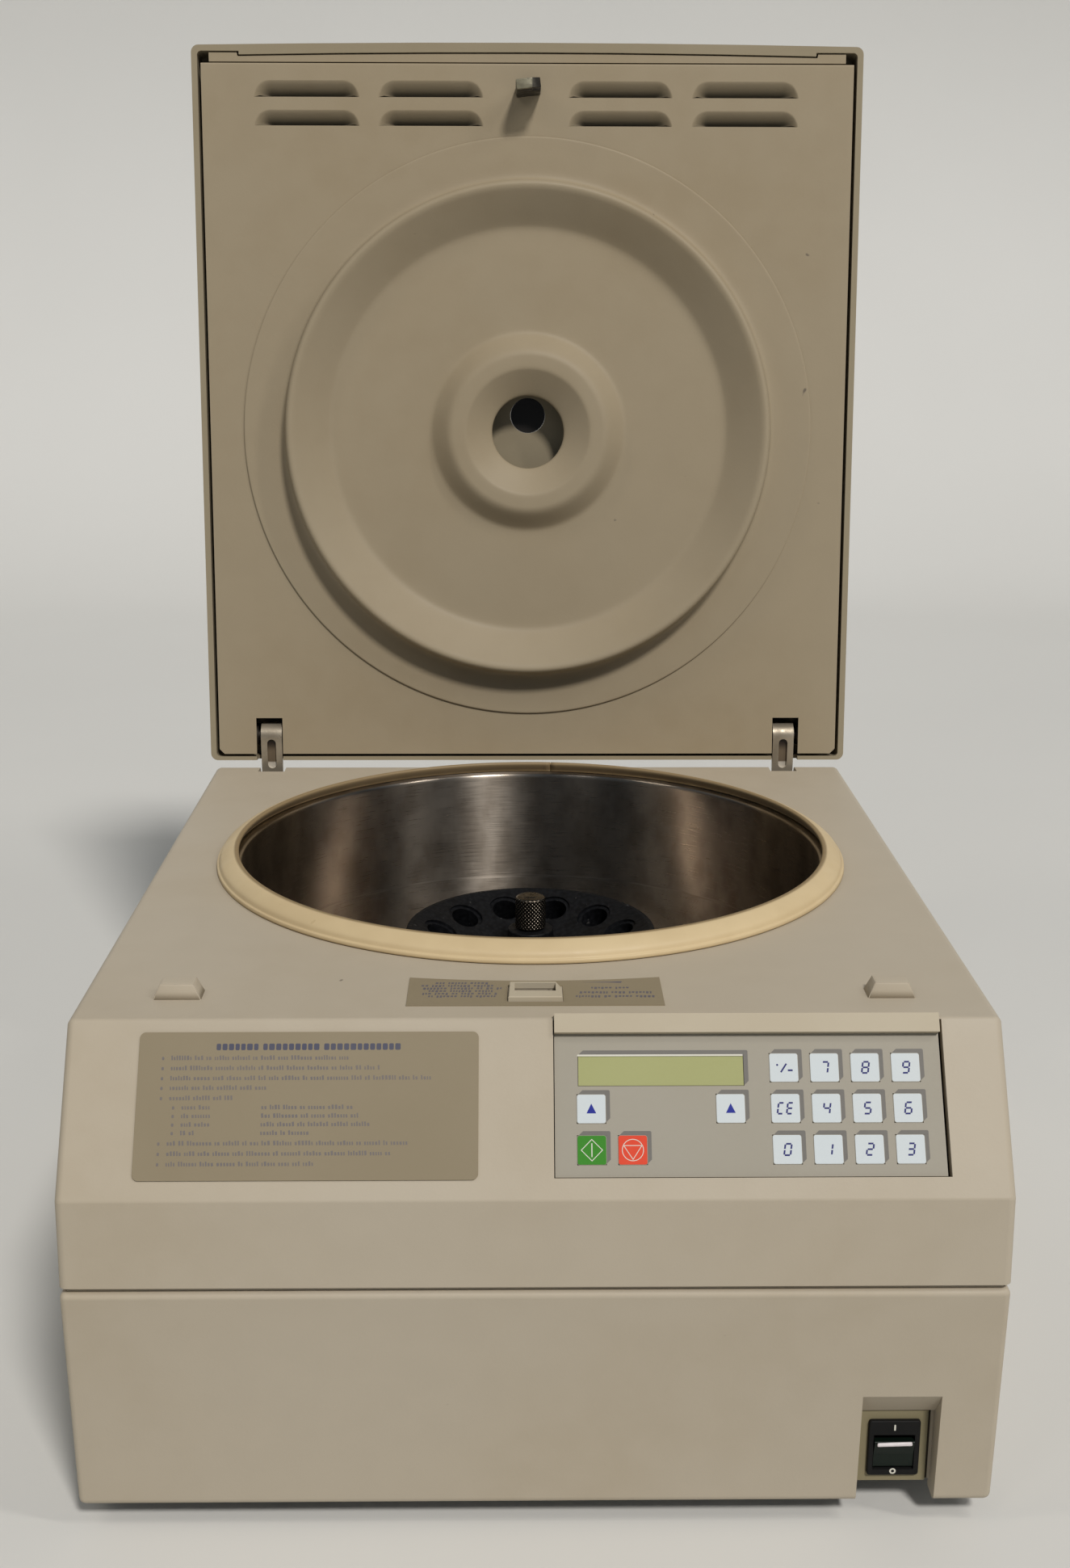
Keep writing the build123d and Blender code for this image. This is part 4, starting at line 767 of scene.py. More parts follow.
@dataclass(frozen=True)
class HammeredEnamel(Finish):
    """Dark enamel whose skin is dimpled like hammered metal."""

    colour: Colour = (0.003, 0.0032, 0.004)
    light: Colour = (0.009, 0.0095, 0.011)
    roughness: float = 0.45
    gloss: float = 0.14

    def build(self) -> None:
        """Cells of a few millimetres tint and dimple the enamel."""
        tree, shader, vector = self.start()
        cells = tree.add("ShaderNodeTexVoronoi", feature="SMOOTH_F1")
        tree.put(cells, "Vector", vector)
        tree.put(cells, "Scale", 420.0)
        grime = EFFECTS.place(tree, Effect.GRIME, vector, size=30.0, speck_size=200.0, speck_limit=0.74)
        colour = tree.mix(tree.range(cells.outputs["Distance"], 0.1, 0.7, 1.0, 0.0), self.colour, self.light)
        colour = tree.mix(tree.math("MULTIPLY", grime.outputs["Specks"], 0.4), colour, (0.12, 0.115, 0.11))
        tree.put(shader, "Base Color", colour)
        tree.put(shader, "Specular IOR Level", self.gloss)
        tree.put(shader, "Roughness", tree.range(grime.outputs["Clouds"], 0.0, 1.0, self.roughness,
                                                 self.roughness + 0.2))
        self.bump(tree, shader, cells.outputs["Distance"], 0.25, 0.0006)


@dataclass(frozen=True)
class Plastic(Finish):
    """Moulded or printed plastic with a fine skin and faint wear."""

    colour: Colour = (0.05, 0.05, 0.05)
    worn: Colour = (0.09, 0.09, 0.085)
    roughness: float = 0.55
    skin: float = 0.05
    wear: float = 0.5
    cloud_size: float = 25.0
    gloss: float = 0.20
    mottle: float = 0.02

    def build(self) -> None:
        """Mixes the colour with its worn tone by clouds over a fine skin."""
        tree, shader, vector = self.start()
        grain = EFFECTS.place(tree, Effect.GRAIN, vector, size=1500.0, coarse_size=600.0)
        grime = EFFECTS.place(tree, Effect.GRIME, vector, size=self.cloud_size, speck_size=220.0, speck_limit=0.82)
        colour = tree.mix(tree.math("MULTIPLY", grime.outputs["Clouds"], self.wear), self.colour, self.worn)
        tree.put(shader, "Base Color", colour)
        tree.put(shader, "Roughness", tree.range(grain.outputs["Tint"], 0.0, 1.0, self.roughness - self.mottle,
                                                 self.roughness + self.mottle))
        tree.put(shader, "Specular IOR Level", self.gloss)
        self.bump(tree, shader, grain.outputs["Height"], self.skin, 0.00003)


@dataclass(frozen=True)
class FloorFinish(Finish):
    """Pale floor that gives less light back to the machine than it shows to the camera."""

    colour: Colour = (0.70, 0.69, 0.66)
    worn: Colour = (0.685, 0.675, 0.645)
    returned: Colour = (0.665, 0.655, 0.62)

    def build(self) -> None:
        """Faint clouds for the camera, a plain deeper tone for every other ray."""
        tree, shader, vector = self.start()
        clouds = tree.noise(vector, 1.5)
        shown = tree.mix(tree.range(clouds, 0.35, 0.65, 0.0, 1.0), self.colour, self.worn)
        path = tree.add("ShaderNodeLightPath")
        tree.put(shader, "Base Color", tree.mix(path.outputs["Is Camera Ray"], self.returned, shown))
        tree.put(shader, "Roughness", 0.7)
        tree.put(shader, "Specular IOR Level", 0.2)


@dataclass(frozen=True)
class Finishes:
    """Every finish of the centrifuge."""

    case: Paint = Paint("case paint")
    lid: Paint = Paint("lid paint", colour=(0.332, 0.273, 0.186), aged=(0.302, 0.238, 0.150), grime=0.6)
    lid_rim: Paint = Paint("lid shell paint", colour=(0.300, 0.252, 0.170), aged=(0.272, 0.222, 0.143), grime=0.6)
    # painted shade: the hidden backs of the lid's sheets are dark so that little light bounces inside the lid
    back_shade: Paint = Paint("sheet backs painted dark as shade", colour=(0.05, 0.045, 0.035), aged=(0.035, 0.03, 0.024))
    seal: SealRubber = SealRubber("cream seal rubber", colour=(0.66, 0.515, 0.30), dirty=(0.50, 0.365, 0.195),
                                  dirt=0.35)
    foot: Rubber = Rubber("black foot rubber", colour=(0.02, 0.02, 0.02), dirty=(0.05, 0.045, 0.04))
    bowl: SpunSteel = SpunSteel("spun bowl steel")
    strap: HingeSteel = HingeSteel("hinge strap steel")
    striker: StrikerSteel = StrikerSteel("striker steel")
    steel: Metal = Metal("plain bright steel")
    # painted shade: dark so that these parts, which sit in shade, give no bright reflection
    pin: Metal = Metal("pin steel painted dark as shade", colour=(0.07, 0.06, 0.05), stained=(0.035, 0.03, 0.025), roughness=0.6)
    zinc: Metal = Metal("zinc plated sheet", colour=(0.50, 0.50, 0.50), stained=(0.40, 0.40, 0.38), roughness=0.42)
    nut: Metal = Metal("knurled nut steel", colour=(0.16, 0.137, 0.11), stained=(0.03, 0.022, 0.015), roughness=0.24)
    rotor: HammeredEnamel = HammeredEnamel("hammered rotor enamel")
    casting: Paint = Paint("dark casting paint", colour=(0.05, 0.052, 0.055), aged=(0.08, 0.08, 0.078))
    black: Plastic = Plastic("black plastic", colour=(0.010, 0.010, 0.010), worn=(0.020, 0.019, 0.018), gloss=0.12)
    frame: Plastic = Plastic("case coloured plastic", colour=(0.495, 0.43, 0.32), worn=(0.465, 0.395, 0.285))
    pad: Paint = Paint("bumper pad paint", colour=(0.482, 0.418, 0.322), aged=(0.455, 0.383, 0.278), peel=0.08)
    overlay: Plastic = Plastic("keypad overlay film", colour=(0.356, 0.326, 0.267), worn=(0.344, 0.312, 0.25))
    shadow: Plastic = Plastic("printed key shadow", colour=(0.170, 0.160, 0.145), worn=(0.185, 0.172, 0.155))
    label: Plastic = Plastic("taupe plate print", colour=(0.262, 0.214, 0.138), worn=(0.288, 0.238, 0.158),
                             cloud_size=14.0)
    ink: Plastic = Plastic("faded blue ink", colour=(0.070, 0.072, 0.115), worn=(0.12, 0.115, 0.13))
    latch_ink: Plastic = Plastic("blue grey ink", colour=(0.12, 0.112, 0.135), worn=(0.17, 0.15, 0.15))
    pale_ink: Plastic = Plastic("pale worn ink", colour=(0.165, 0.148, 0.145), worn=(0.215, 0.182, 0.15))
    key: Plastic = Plastic("pale key film", colour=(0.615, 0.665, 0.685), worn=(0.63, 0.66, 0.66))
    legend: Plastic = Plastic("legend blue", colour=(0.022, 0.026, 0.15), worn=(0.03, 0.034, 0.17))
    arrow: Plastic = Plastic("arrow blue", colour=(0.01, 0.02, 0.27), worn=(0.02, 0.03, 0.28))
    green: Plastic = Plastic("start green", colour=(0.035, 0.23, 0.012), worn=(0.05, 0.26, 0.02))
    red: Plastic = Plastic("stop red", colour=(0.72, 0.055, 0.02), worn=(0.74, 0.09, 0.04))
    white: Plastic = Plastic("white print", colour=(0.70, 0.68, 0.60), worn=(0.64, 0.6, 0.5))
    display: Plastic = Plastic("display glass green", colour=(0.375, 0.38, 0.168), worn=(0.36, 0.366, 0.155),
                               skin=0.0)
    board: Plastic = Plastic("circuit board green", colour=(0.02, 0.10, 0.04), worn=(0.03, 0.13, 0.05))
    rocker: Plastic = Plastic("dark green rocker", colour=(0.004, 0.009, 0.006), worn=(0.009, 0.015, 0.011),
                              roughness=0.42, gloss=0.22)
    # painted highlight: the ridge's pale colour stands in for light caught by the rocker's upper edge
    highlight_ridge: Plastic = Plastic("rocker ridge painted as highlight", colour=(0.86, 0.80, 0.81), worn=(0.62, 0.56, 0.57),
                             roughness=0.3, gloss=0.5, cloud_size=150.0)
    switch_plate: Paint = Paint("olive plate paint", colour=(0.255, 0.218, 0.132), aged=(0.20, 0.178, 0.095))
    # painted shade: a dark film standing in for the shadow in the gap round the switch plate
    gap_shade: Plastic = Plastic("shaded joint", colour=(0.030, 0.023, 0.013), worn=(0.042, 0.033, 0.019))
    glass: Plastic = Plastic("dark sight glass", colour=(0.028, 0.025, 0.023), worn=(0.032, 0.029, 0.026),
                             roughness=0.12, skin=0.0)


FINISH = Finishes()


def dress(node: str, finish: Finish) -> None:
    """Gives a piece of the frame its finish on every material slot."""
    piece = frame["nodes"][node]
    for material_slot in piece.material_slots:
        material_slot.material = finish.material()


# ---------------------------------------------------------------- sub-assemblies
@dataclass
class CaseBody:
    """Cover, lower housing, base, feet and rear fittings."""

    painted: tuple[str, ...] = ("top_cover", "lower_housing")
    zinc: tuple[str, ...] = ("base_plate", "rear_panel", "case_screws", "hinge_posts")
    dark: tuple[str, ...] = ("guard_barrel", "motor_plate", "motor_housing", "transformer")
    rubber: tuple[str, ...] = ("rubber_feet", "bowl_cushion", "motor_mounts", "shaft_gaiter")
    boards: tuple[str, ...] = ("power_board", "display_board")

    def build(self) -> list[str]:
        """Dresses the case's nodes and returns their names."""
        for names, finish in ((self.painted, FINISH.case), (self.zinc, FINISH.zinc), (self.dark, FINISH.casting),
                              (self.rubber, FINISH.foot), (self.boards, FINISH.board)):
            for name in names:
                dress(name, finish)
        dress("lid_shell", FINISH.lid_rim)
        dress("mains_inlet", FINISH.black)
        dress("motor_bearings", FINISH.steel)
        return [*self.painted, *self.zinc, *self.dark, *self.rubber, *self.boards]


@dataclass
class RestPads:
    """Two tapered pads on the flat top that the closed lid comes down on."""

    middle_x: float = 176.4
    middle_y: float = 31.0
    length: float = 23.5
    width: float = 13.0
    height: float = 7.6
    taper: float = 3.5
    base_z: float = 252.0
    skin: float = 0.12

    def build_pad(self, name: str, side: int) -> bpy.types.Object:
        """A pad: rounded rectangles that shrink with height and close over the top.

        Ring k is the base rectangle drawn in by taper * t_k on its ends and half of that on its
        sides, at height H * t_k, with the upper edge turned over through a quarter circle.

        Args:
            name: name of the piece.
            side: -1 for the left pad, 1 for the right one.

        Returns:
            The pad.
        """
        edge = 0.9
        turn = np.radians(np.linspace(0.0, 90.0, 6))
        lift = np.concatenate([[0.0, 0.5], (self.height - edge + edge * np.sin(turn)) / self.height])
        draw = np.concatenate([[0.0, 0.0], (1.0 - np.cos(turn)) * edge])
        rings = []
        for share, extra in zip(lift, draw):
            half_x = self.length / 2 - self.taper * share - extra + self.skin
            half_y = self.width / 2 - self.taper / 2 * share - extra + self.skin
            outline = rounded_rectangle(-half_x, half_x, -half_y, half_y, 1.0, 4)
            rings.append(np.column_stack([outline, np.full(len(outline), self.height * share + self.skin)]))
        rings[0][:, 2] = 0.02
        count = len(rings[0])
        points = np.concatenate(rings) + np.array([side * self.middle_x, self.middle_y, self.base_z])
        faces = grid_faces(len(rings), count, wrap_columns=True).tolist()
        faces.append(list(range(count))[::-1])
        faces.append([count * (len(rings) - 1) + number for number in range(count)])
        pad = mesh_piece(name, points, faces, "base", FINISH.pad.material())
        merge_points(pad)
        return pad

    def build(self) -> list[str]:
        """Builds the left and the right pad."""
        return [self.build_pad("rest_pad_left", -1).name, self.build_pad("rest_pad_right", 1).name]


@dataclass
class BowlAndSeal:
    """Spun bowl and the cream ring round its mouth."""

    centre_y: float = 261.4
    columns: int = 256
    bowl_profile: tuple[tuple[float, float], ...] = (
        (183.2, 254.9), (178.2, 254.9), (176.4, 254.6), (176.0, 253.6), (176.0, 252.0), (176.0, 230.0),
        (176.0, 205.0), (176.0, 180.2), (175.96, 179.4), (175.86, 178.6), (175.82, 177.8), (175.7, 160.0),
        (175.55, 140.0), (175.4, 126.0))
    fillet: float = 22.0
    floor_z: float = 104.0
    hole: float = 36.0
    ring_profile: tuple[tuple[float, float], ...] = (
        (181.6, 255.05), (179.6, 257.4), (177.6, 260.4), (177.3, 261.9), (178.2, 262.75), (180.8, 262.4),
        (184.0, 260.9),
        (187.2, 258.8), (188.7, 257.4), (189.3, 255.6), (189.6, 254.9), (190.5, 254.7), (190.78, 254.0),
        (190.78, 252.05), (185.4, 252.05), (184.0, 255.05))
    joint_x: float = 16.3
    joint_gap: float = 0.5

    def lathe(self, profile: np.ndarray, start: float, end: float, columns: int) -> np.ndarray:
        """Turns a profile of (radius, height) about the bowl's axis.

        A point goes to (r cos t, centre + r sin t, z), t running from start to end in degrees.

        Args:
            profile: points of the profile.
            start: first angle.
            end: last angle, left out of a full turn.
            columns: number of turns of the profile.

        Returns:
            Array of profile by columns by 3 bench points.
        """
        full = abs(end - start) > 359.99
        turn = np.radians(np.linspace(start, end, columns, endpoint=not full))
        radius, height = profile[:, 0, None], profile[:, 1, None]
        return np.stack([radius * np.cos(turn), self.centre_y + radius * np.sin(turn),
                         height + 0.0 * turn], axis=-1)

    def build_bowl(self) -> bpy.types.Object:
        """The bowl's inner skin as a lathe, given its wall by a modifier."""
        corner = arc((175.4 - self.fillet, self.floor_z + self.fillet), self.fillet, 0, -90, 14)
        floor = np.array([(radius, self.floor_z) for radius in (140.0, 120.0, 95.0, 70.0, 50.0, self.hole)])
        profile = np.concatenate([np.array(self.bowl_profile), corner[1:], floor])
        points = self.lathe(profile, 0.0, 360.0, self.columns)
        rows = len(profile)
        bowl = mesh_piece("spun_bowl", points, grid_faces(rows, self.columns, wrap_columns=True), "base",
                          FINISH.bowl.material())
        add_grid_uv(bowl, rows, self.columns, (6.0, 1.5))
        wall = bowl.modifiers.new("wall", "SOLIDIFY")
        wall.thickness = 1.2 * MILLIMETRE
        wall.offset = -1.0
        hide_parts("bowl")
        return bowl

    def build_ring(self) -> bpy.types.Object:
        """The seal ring: its section carried round from one side of the joint to the other."""
        section = rounded(self.ring_profile, 1, closed=True)
        middle = 90.0 - math.degrees(math.asin(self.joint_x / 184.0))
        half = math.degrees(self.joint_gap / 2 / 184.0)
        points = self.lathe(section, middle + half, middle + 360.0 - half, 320)
        count, columns = len(section), 320
        faces = grid_faces(count, columns, wrap_rows=True).tolist()
        faces.append([row * columns for row in range(count)])
        faces.append([row * columns + columns - 1 for row in range(count - 1, -1, -1)])
        ring = mesh_piece("seal_ring", points, faces, "base", FINISH.seal.material())
        merge_points(ring)
        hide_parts("sealing_ring")
        return ring

    def build(self) -> list[str]:
        """Builds the bowl and its ring."""
        return [self.build_bowl().name, self.build_ring().name]


@dataclass
class RotorDrive:
    """Rotor, spindle and the knurled nut."""

    centre_y: float = 261.4
    nut_radius: float = 9.4
    nut_low: float = 203.6
    nut_high: float = 224.2
    knurls: int = 24
    knurl_depth: float = 0.8

    def build_nut(self) -> bpy.types.Object:
        """Diamond knurl: two families of helices press grooves into the nut's side.

        The radius is R - d * (1 - |sin(n t + k z)|) * |...| so that the peaks form diamonds; the
        ends are bevelled and closed to the axis.
        """
        rows, columns = 46, 272
        height = np.linspace(self.nut_low + 1.2, self.nut_high - 1.2, rows)
        turn = np.linspace(0.0, 2 * math.pi, columns, endpoint=False)
        z, t = np.meshgrid(height, turn, indexing="ij")
        twist = self.knurls / self.nut_radius
        first = np.abs(np.sin((self.knurls * t + twist * (z - self.nut_low)) / 2))
        second = np.abs(np.sin((self.knurls * t - twist * (z - self.nut_low)) / 2))
        groove = np.minimum(np.minimum(first, second) * 1.6, 1.0)
        side = self.nut_radius - self.knurl_depth * (1.0 - groove)
        ends = [(0.0, self.nut_low), (self.nut_radius - 1.6, self.nut_low),
                (self.nut_radius - 0.6, self.nut_low + 0.6)]
        tops = [(self.nut_radius - 0.6, self.nut_high - 0.6), (self.nut_radius - 1.6, self.nut_high),
                (3.4, self.nut_high), (3.0, self.nut_high - 0.3), (0.0, self.nut_high - 0.3)]
        radius = np.concatenate([np.repeat([[r] for r, _ in ends], columns, axis=1), side,
                                 np.repeat([[r] for r, _ in tops], columns, axis=1)])
        level = np.concatenate([np.repeat([[h] for _, h in ends], columns, axis=1), z,
                                np.repeat([[h] for _, h in tops], columns, axis=1)])
        around = np.broadcast_to(turn, radius.shape)
        points = np.stack([radius * np.cos(around), self.centre_y + radius * np.sin(around), level], axis=-1)
        nut = mesh_piece("knurled_nut", points, grid_faces(len(radius), columns, wrap_columns=True), "clamp_nut",
                         FINISH.nut.material())
        merge_points(nut)
        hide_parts("rotor_nut")
        return nut

    def build(self) -> list[str]:
        """Dresses the rotor and builds the nut."""
        dress("rotor", FINISH.rotor)
        dress("spindle", FINISH.pin)
        return ["rotor", self.build_nut().name]


def merge_points(piece: bpy.types.Object, reach: float = 1e-6, closed: bool = True) -> None:
    """Welds points that lie on each other, keeps open edges sharp and turns a closed skin outward.

    Args:
        piece: piece whose mesh is cleaned.
        reach: how near two points must be, in metres.
        closed: the piece is a closed skin.
    """
    mesh = bmesh.new()
    mesh.from_mesh(piece.data)
    bmesh.ops.remove_doubles(mesh, verts=mesh.verts, dist=reach)
    if closed:
        bmesh.ops.recalc_face_normals(mesh, faces=mesh.faces)
    for edge in mesh.edges:
        edge.smooth = not edge.is_boundary
    mesh.to_mesh(piece.data)
    mesh.free()


@dataclass
class LidInside:
    """Panel with its louvres, spun dish, sight port and striker."""

    half_width: float = 221.9
    foot_s: float = 1.2
    corner: float = 3.5
    fold_s: float = 475.0
    sheet: float = 1.5
    dish_s: float = 229.2
    notch_x: float = 185.8
    notch_half: float = 9.4
    notch_s: float = 27.2
    louvre_x: tuple[tuple[float, float], ...] = ((-186.6, -114.8), (-102.0, -30.5), (27.2, 98.4), (111.7, 184.5))
    louvre_s: tuple[tuple[float, float], ...] = ((453.0, 463.8), (434.3, 444.6))
    louvre_depth: float = 8.5
    louvre_power: float = 1.3
    louvre_round: float = 12.0
    louvre_blend: float = 1.4
    louvre_slit: float = 1.5
    hole_radius: float = 184.0
    window_half: float = 200.0
    striker_s: float = 457.0
    striker_turn: float = 6.5

    def lines(self, low: float, high: float, marks: Iterable[float], step: float) -> np.ndarray:
        """Grid lines from low to high that pass through every mark and are never a step apart."""
        stops = sorted({low, high, *marks})
        pieces = [np.linspace(a, b, max(2, int(math.ceil((b - a) / step)) + 1))[:-1]
                  for a, b in zip(stops, stops[1:])]
        return np.append(np.concatenate(pieces), high)

    def louvre_grid(self, x0: float, x1: float, s0: float, s1: float) -> tuple[np.ndarray, list[list[int]]]:
        """One pressed louvre: a pocket that deepens from its upper edge to its lanced lower edge.

        With v from 0 at the lanced edge to 1 at the upper edge, and e the distance to the nearer end,
        rho = (i^k + v^k)^(1/k) with i = (max(R - e, 0) / R)^1.7, and depth = D * (1 - rho)^p. The lanced edge
        stands a slit above the sheet's own edge where the pocket is deep, and meets it at the ends.

        Args:
            x0: left end.
            x1: right end.
            s0: lanced lower edge.
            s1: upper edge.

        Returns:
            Points in lid coordinates and the faces.
        """
        rows, ends = 25, self.louvre_round + 1.5
        x = np.concatenate([np.linspace(x0, x0 + ends, 29)[:-1], np.linspace(x0 + ends, x1 - ends, 13)[:-1],
                            np.linspace(x1 - ends, x1, 29)])
        columns = len(x)
        v = np.linspace(0.0, 1.0, rows)
        grid_x, grid_v = np.meshgrid(x, v)
        near = np.minimum(grid_x - x0, x1 - grid_x)
        inset = (np.clip(self.louvre_round - near, 0.0, None) / self.louvre_round) ** 1.7

        def sunk(height: np.ndarray | float) -> np.ndarray:
            """Share of the full depth at a height between the lanced edge and the upper edge."""
            reach = (inset ** self.louvre_blend + height ** self.louvre_blend) ** (1.0 / self.louvre_blend)
            return np.clip(1.0 - reach, 0.0, 1.0) ** self.louvre_power

        low = s0 + self.louvre_slit * np.clip(sunk(0.0 * inset) * 2.5, 0.0, 1.0)
        points = np.stack([grid_x, low + grid_v * (s1 - low), -self.louvre_depth * sunk(grid_v)], axis=-1)
        return points.reshape(-1, 3), grid_faces(rows, columns).tolist()

    def ring_grid(self, x: np.ndarray, s: np.ndarray) -> tuple[np.ndarray, list[list[int]]]:
        """Flat sheet between the square window of the panel's grid and the round hole.

        Each point of the window's border is joined to the point of the hole at the same angle:
        p = hole + t * (border - hole).

        Args:
            x: grid lines across.
            s: grid lines up the panel.

        Returns:
            Points in lid coordinates and the faces.
        """
        low, high = self.dish_s - self.window_half, self.dish_s + self.window_half
        across = x[np.abs(x) <= self.window_half + 1e-6]
        upward = s[(s >= low - 1e-6) & (s <= high + 1e-6)]
        border = np.concatenate([np.column_stack([across, np.full_like(across, low)])[:-1],
                                 np.column_stack([np.full_like(upward, self.window_half), upward])[:-1],
                                 np.column_stack([across[::-1], np.full_like(across, high)])[:-1],
                                 np.column_stack([np.full_like(upward, -self.window_half), upward[::-1]])[:-1]])
        out = border - np.array([0.0, self.dish_s])
        hole = out / np.linalg.norm(out, axis=1, keepdims=True) * self.hole_radius + np.array([0.0, self.dish_s])
        share = np.array([1.0, 0.5, 0.0])[:, None, None]
        flat = hole + share * (border - hole)
        points = np.concatenate([flat, np.zeros((*flat.shape[:2], 1))], axis=-1)
        return points.reshape(-1, 3), grid_faces(3, len(border), wrap_columns=True).tolist()

    def build_panel(self) -> bpy.types.Object:
        """The panel: a grid with louvres, notches and the dish's hole left out, and a folded edge."""
        low, high = self.dish_s - self.window_half, self.dish_s + self.window_half
        marks_x = [edge for span in self.louvre_x for edge in span]
        marks_x += [side * self.notch_x + way * self.notch_half for side in (-1, 1) for way in (-1, 1)]
        shoulder, corner_s = self.half_width - self.corner, self.foot_s + self.corner
        marks_x += [-self.window_half, self.window_half, -shoulder, shoulder]
        marks_s = [edge for span in self.louvre_s for edge in span] + [self.notch_s, corner_s, low, high]
        x = self.lines(-self.half_width, self.half_width, marks_x, 9.0)
        s = self.lines(self.foot_s, self.fold_s - 1.5, marks_s, 9.0)
        grid_s, grid_x = np.meshgrid(s, x, indexing="ij")
        points = np.stack([grid_x, grid_s, np.zeros_like(grid_x)], axis=-1)
        faces = grid_faces(len(s), len(x))
        middle = points.reshape(-1, 3)[faces].mean(axis=1)
        keep = ~((np.abs(middle[:, 0]) < self.window_half) & (middle[:, 1] > low) & (middle[:, 1] < high))
        for x0, x1 in self.louvre_x:
            for s0, s1 in self.louvre_s:
                keep &= ~((middle[:, 0] > x0) & (middle[:, 0] < x1) & (middle[:, 1] > s0) & (middle[:, 1] < s1))
        keep &= ~((np.abs(np.abs(middle[:, 0]) - self.notch_x) < self.notch_half) & (middle[:, 1] < self.notch_s))
        keep &= ~((np.abs(middle[:, 0]) > shoulder) & (middle[:, 1] < corner_s))
        parts = [(points.reshape(-1, 3), faces[keep].tolist()), self.ring_grid(x, s)]
        for side in (-1, 1):
            corner = np.array([[side * shoulder, self.foot_s, 0.0], [side * self.half_width, corner_s, 0.0],
                               [side * shoulder, corner_s, 0.0]])
            parts.append((corner, [[0, 1, 2] if side > 0 else [0, 2, 1]]))
        for span in self.louvre_x:
            for rows in self.louvre_s:
                parts.append(self.louvre_grid(*span, *rows))
        fold = np.array([(self.fold_s - 1.5, 0.0), (self.fold_s - 0.75, -0.03), (self.fold_s - 0.3, -0.2),
                         (self.fold_s - 0.05, -0.6), (self.fold_s, -1.3), (self.fold_s, -2.2)])
        fold_x = x
        strip = np.stack([np.broadcast_to(fold_x, (6, len(x))), np.repeat(fold[:, :1], len(x), axis=1),
                          np.repeat(fold[:, 1:], len(x), axis=1)], axis=-1)
        parts.append((strip.reshape(-1, 3), grid_faces(6, len(x)).tolist()))
        lid_points, lid_faces = joined(parts)
        placed = LID.place(lid_points[:, 0], lid_points[:, 1], lid_points[:, 2])
        panel = mesh_piece("lid_panel", placed, lid_faces, "lid", FINISH.lid.material())
        merge_points(panel, 2e-5, closed=False)
        wall = panel.modifiers.new("sheet", "SOLIDIFY")
        wall.thickness = self.sheet * MILLIMETRE
        wall.offset = -1.0
        wall.material_offset = 1
        # the sheet's back takes the painted shade
        panel.data.materials.append(FINISH.back_shade.material())
        return panel

    def build_strip(self) -> bpy.types.Object:
        """The set-back strip along the panel's front edge, its front following the bowed rim."""
        x = self.lines(-216.4, 216.4, [-197.5, -196.9, 196.9, 197.5], 6.0)
        bow = 481.4 - 2.0 * (x / 197.0) ** 2
        front = np.where(np.abs(x) > 197.2, 481.8, bow)
        back = np.full_like(x, self.fold_s + 0.85)
        top = np.stack([np.concatenate([x, x]), np.concatenate([back, front]),
                        np.full(2 * len(x), -1.05)], axis=-1)
        faces = grid_faces(2, len(x)).tolist()
        placed = LID.place(top[:, 0], top[:, 1], top[:, 2])
        strip = mesh_piece("lid_front_strip", placed, faces, "lid", FINISH.lid.material(), smooth=False)
        wall = strip.modifiers.new("sheet", "SOLIDIFY")
        wall.thickness = self.sheet * MILLIMETRE
        wall.offset = -1.0
        return strip

    def build_dish(self) -> bpy.types.Object:
        """The spun dish: its section turned about the middle of the panel."""
        section = [(198.5, 0.05), (198.5, 1.05), (197.6, 1.2), (185.0, 1.2), (174.5, 1.25), (170.6, 2.2),
                   (169.2, 5.0), (168.6, 10.0), (168.2, 15.0), (167.6, 18.0), (165.6, 19.8), (162.8, 19.3),
                   (159.5, 17.2), (150.0, 10.6), (140.8, 4.0), (138.0, 2.5), (134.0, 2.0), (115.0, 2.0),
                   (90.0, 2.0), (70.5, 2.0), (67.6, 2.5), (65.2, 4.2), (59.0, 10.2), (55.8, 12.9), (53.0, 14.1),
                   (50.0, 14.2), (45.0, 14.2), (43.0, 13.9), (41.2, 12.9), (33.0, 7.9), (26.6, 3.9), (25.2, 2.6),
                   (25.0, 1.4)]
        profile = np.concatenate([np.array(section[:2]), rounded(section[2:], 2)])
        columns = 256
        turn = np.linspace(0.0, 2 * math.pi, columns, endpoint=False)
        radius, height = profile[:, 0, None], profile[:, 1, None] + 0.0 * turn
        placed = LID.place(radius * np.sin(turn), self.dish_s + radius * np.cos(turn), height)
        faces = grid_faces(len(profile), columns, wrap_columns=True)[:, ::-1]
        dish = mesh_piece("spun_dish", placed, faces, "lid", FINISH.lid.material())
        wall = dish.modifiers.new("sheet", "SOLIDIFY")
        wall.thickness = 1.0 * MILLIMETRE
        wall.offset = -1.0
        wall.material_offset = 1
        # the sheet's back takes the painted shade
        dish.data.materials.append(FINISH.back_shade.material())
        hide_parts("lid_dish")
        return dish

    def build(self) -> list[str]:
        """Builds the lid's inside and dresses what stays of the frame."""
        panel, strip, dish = self.build_panel(), self.build_strip(), self.build_dish()
        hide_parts("lid_liner")
        dress("sight_window", FINISH.glass)
        return [panel.name, strip.name, dish.name, self.build_striker().name]

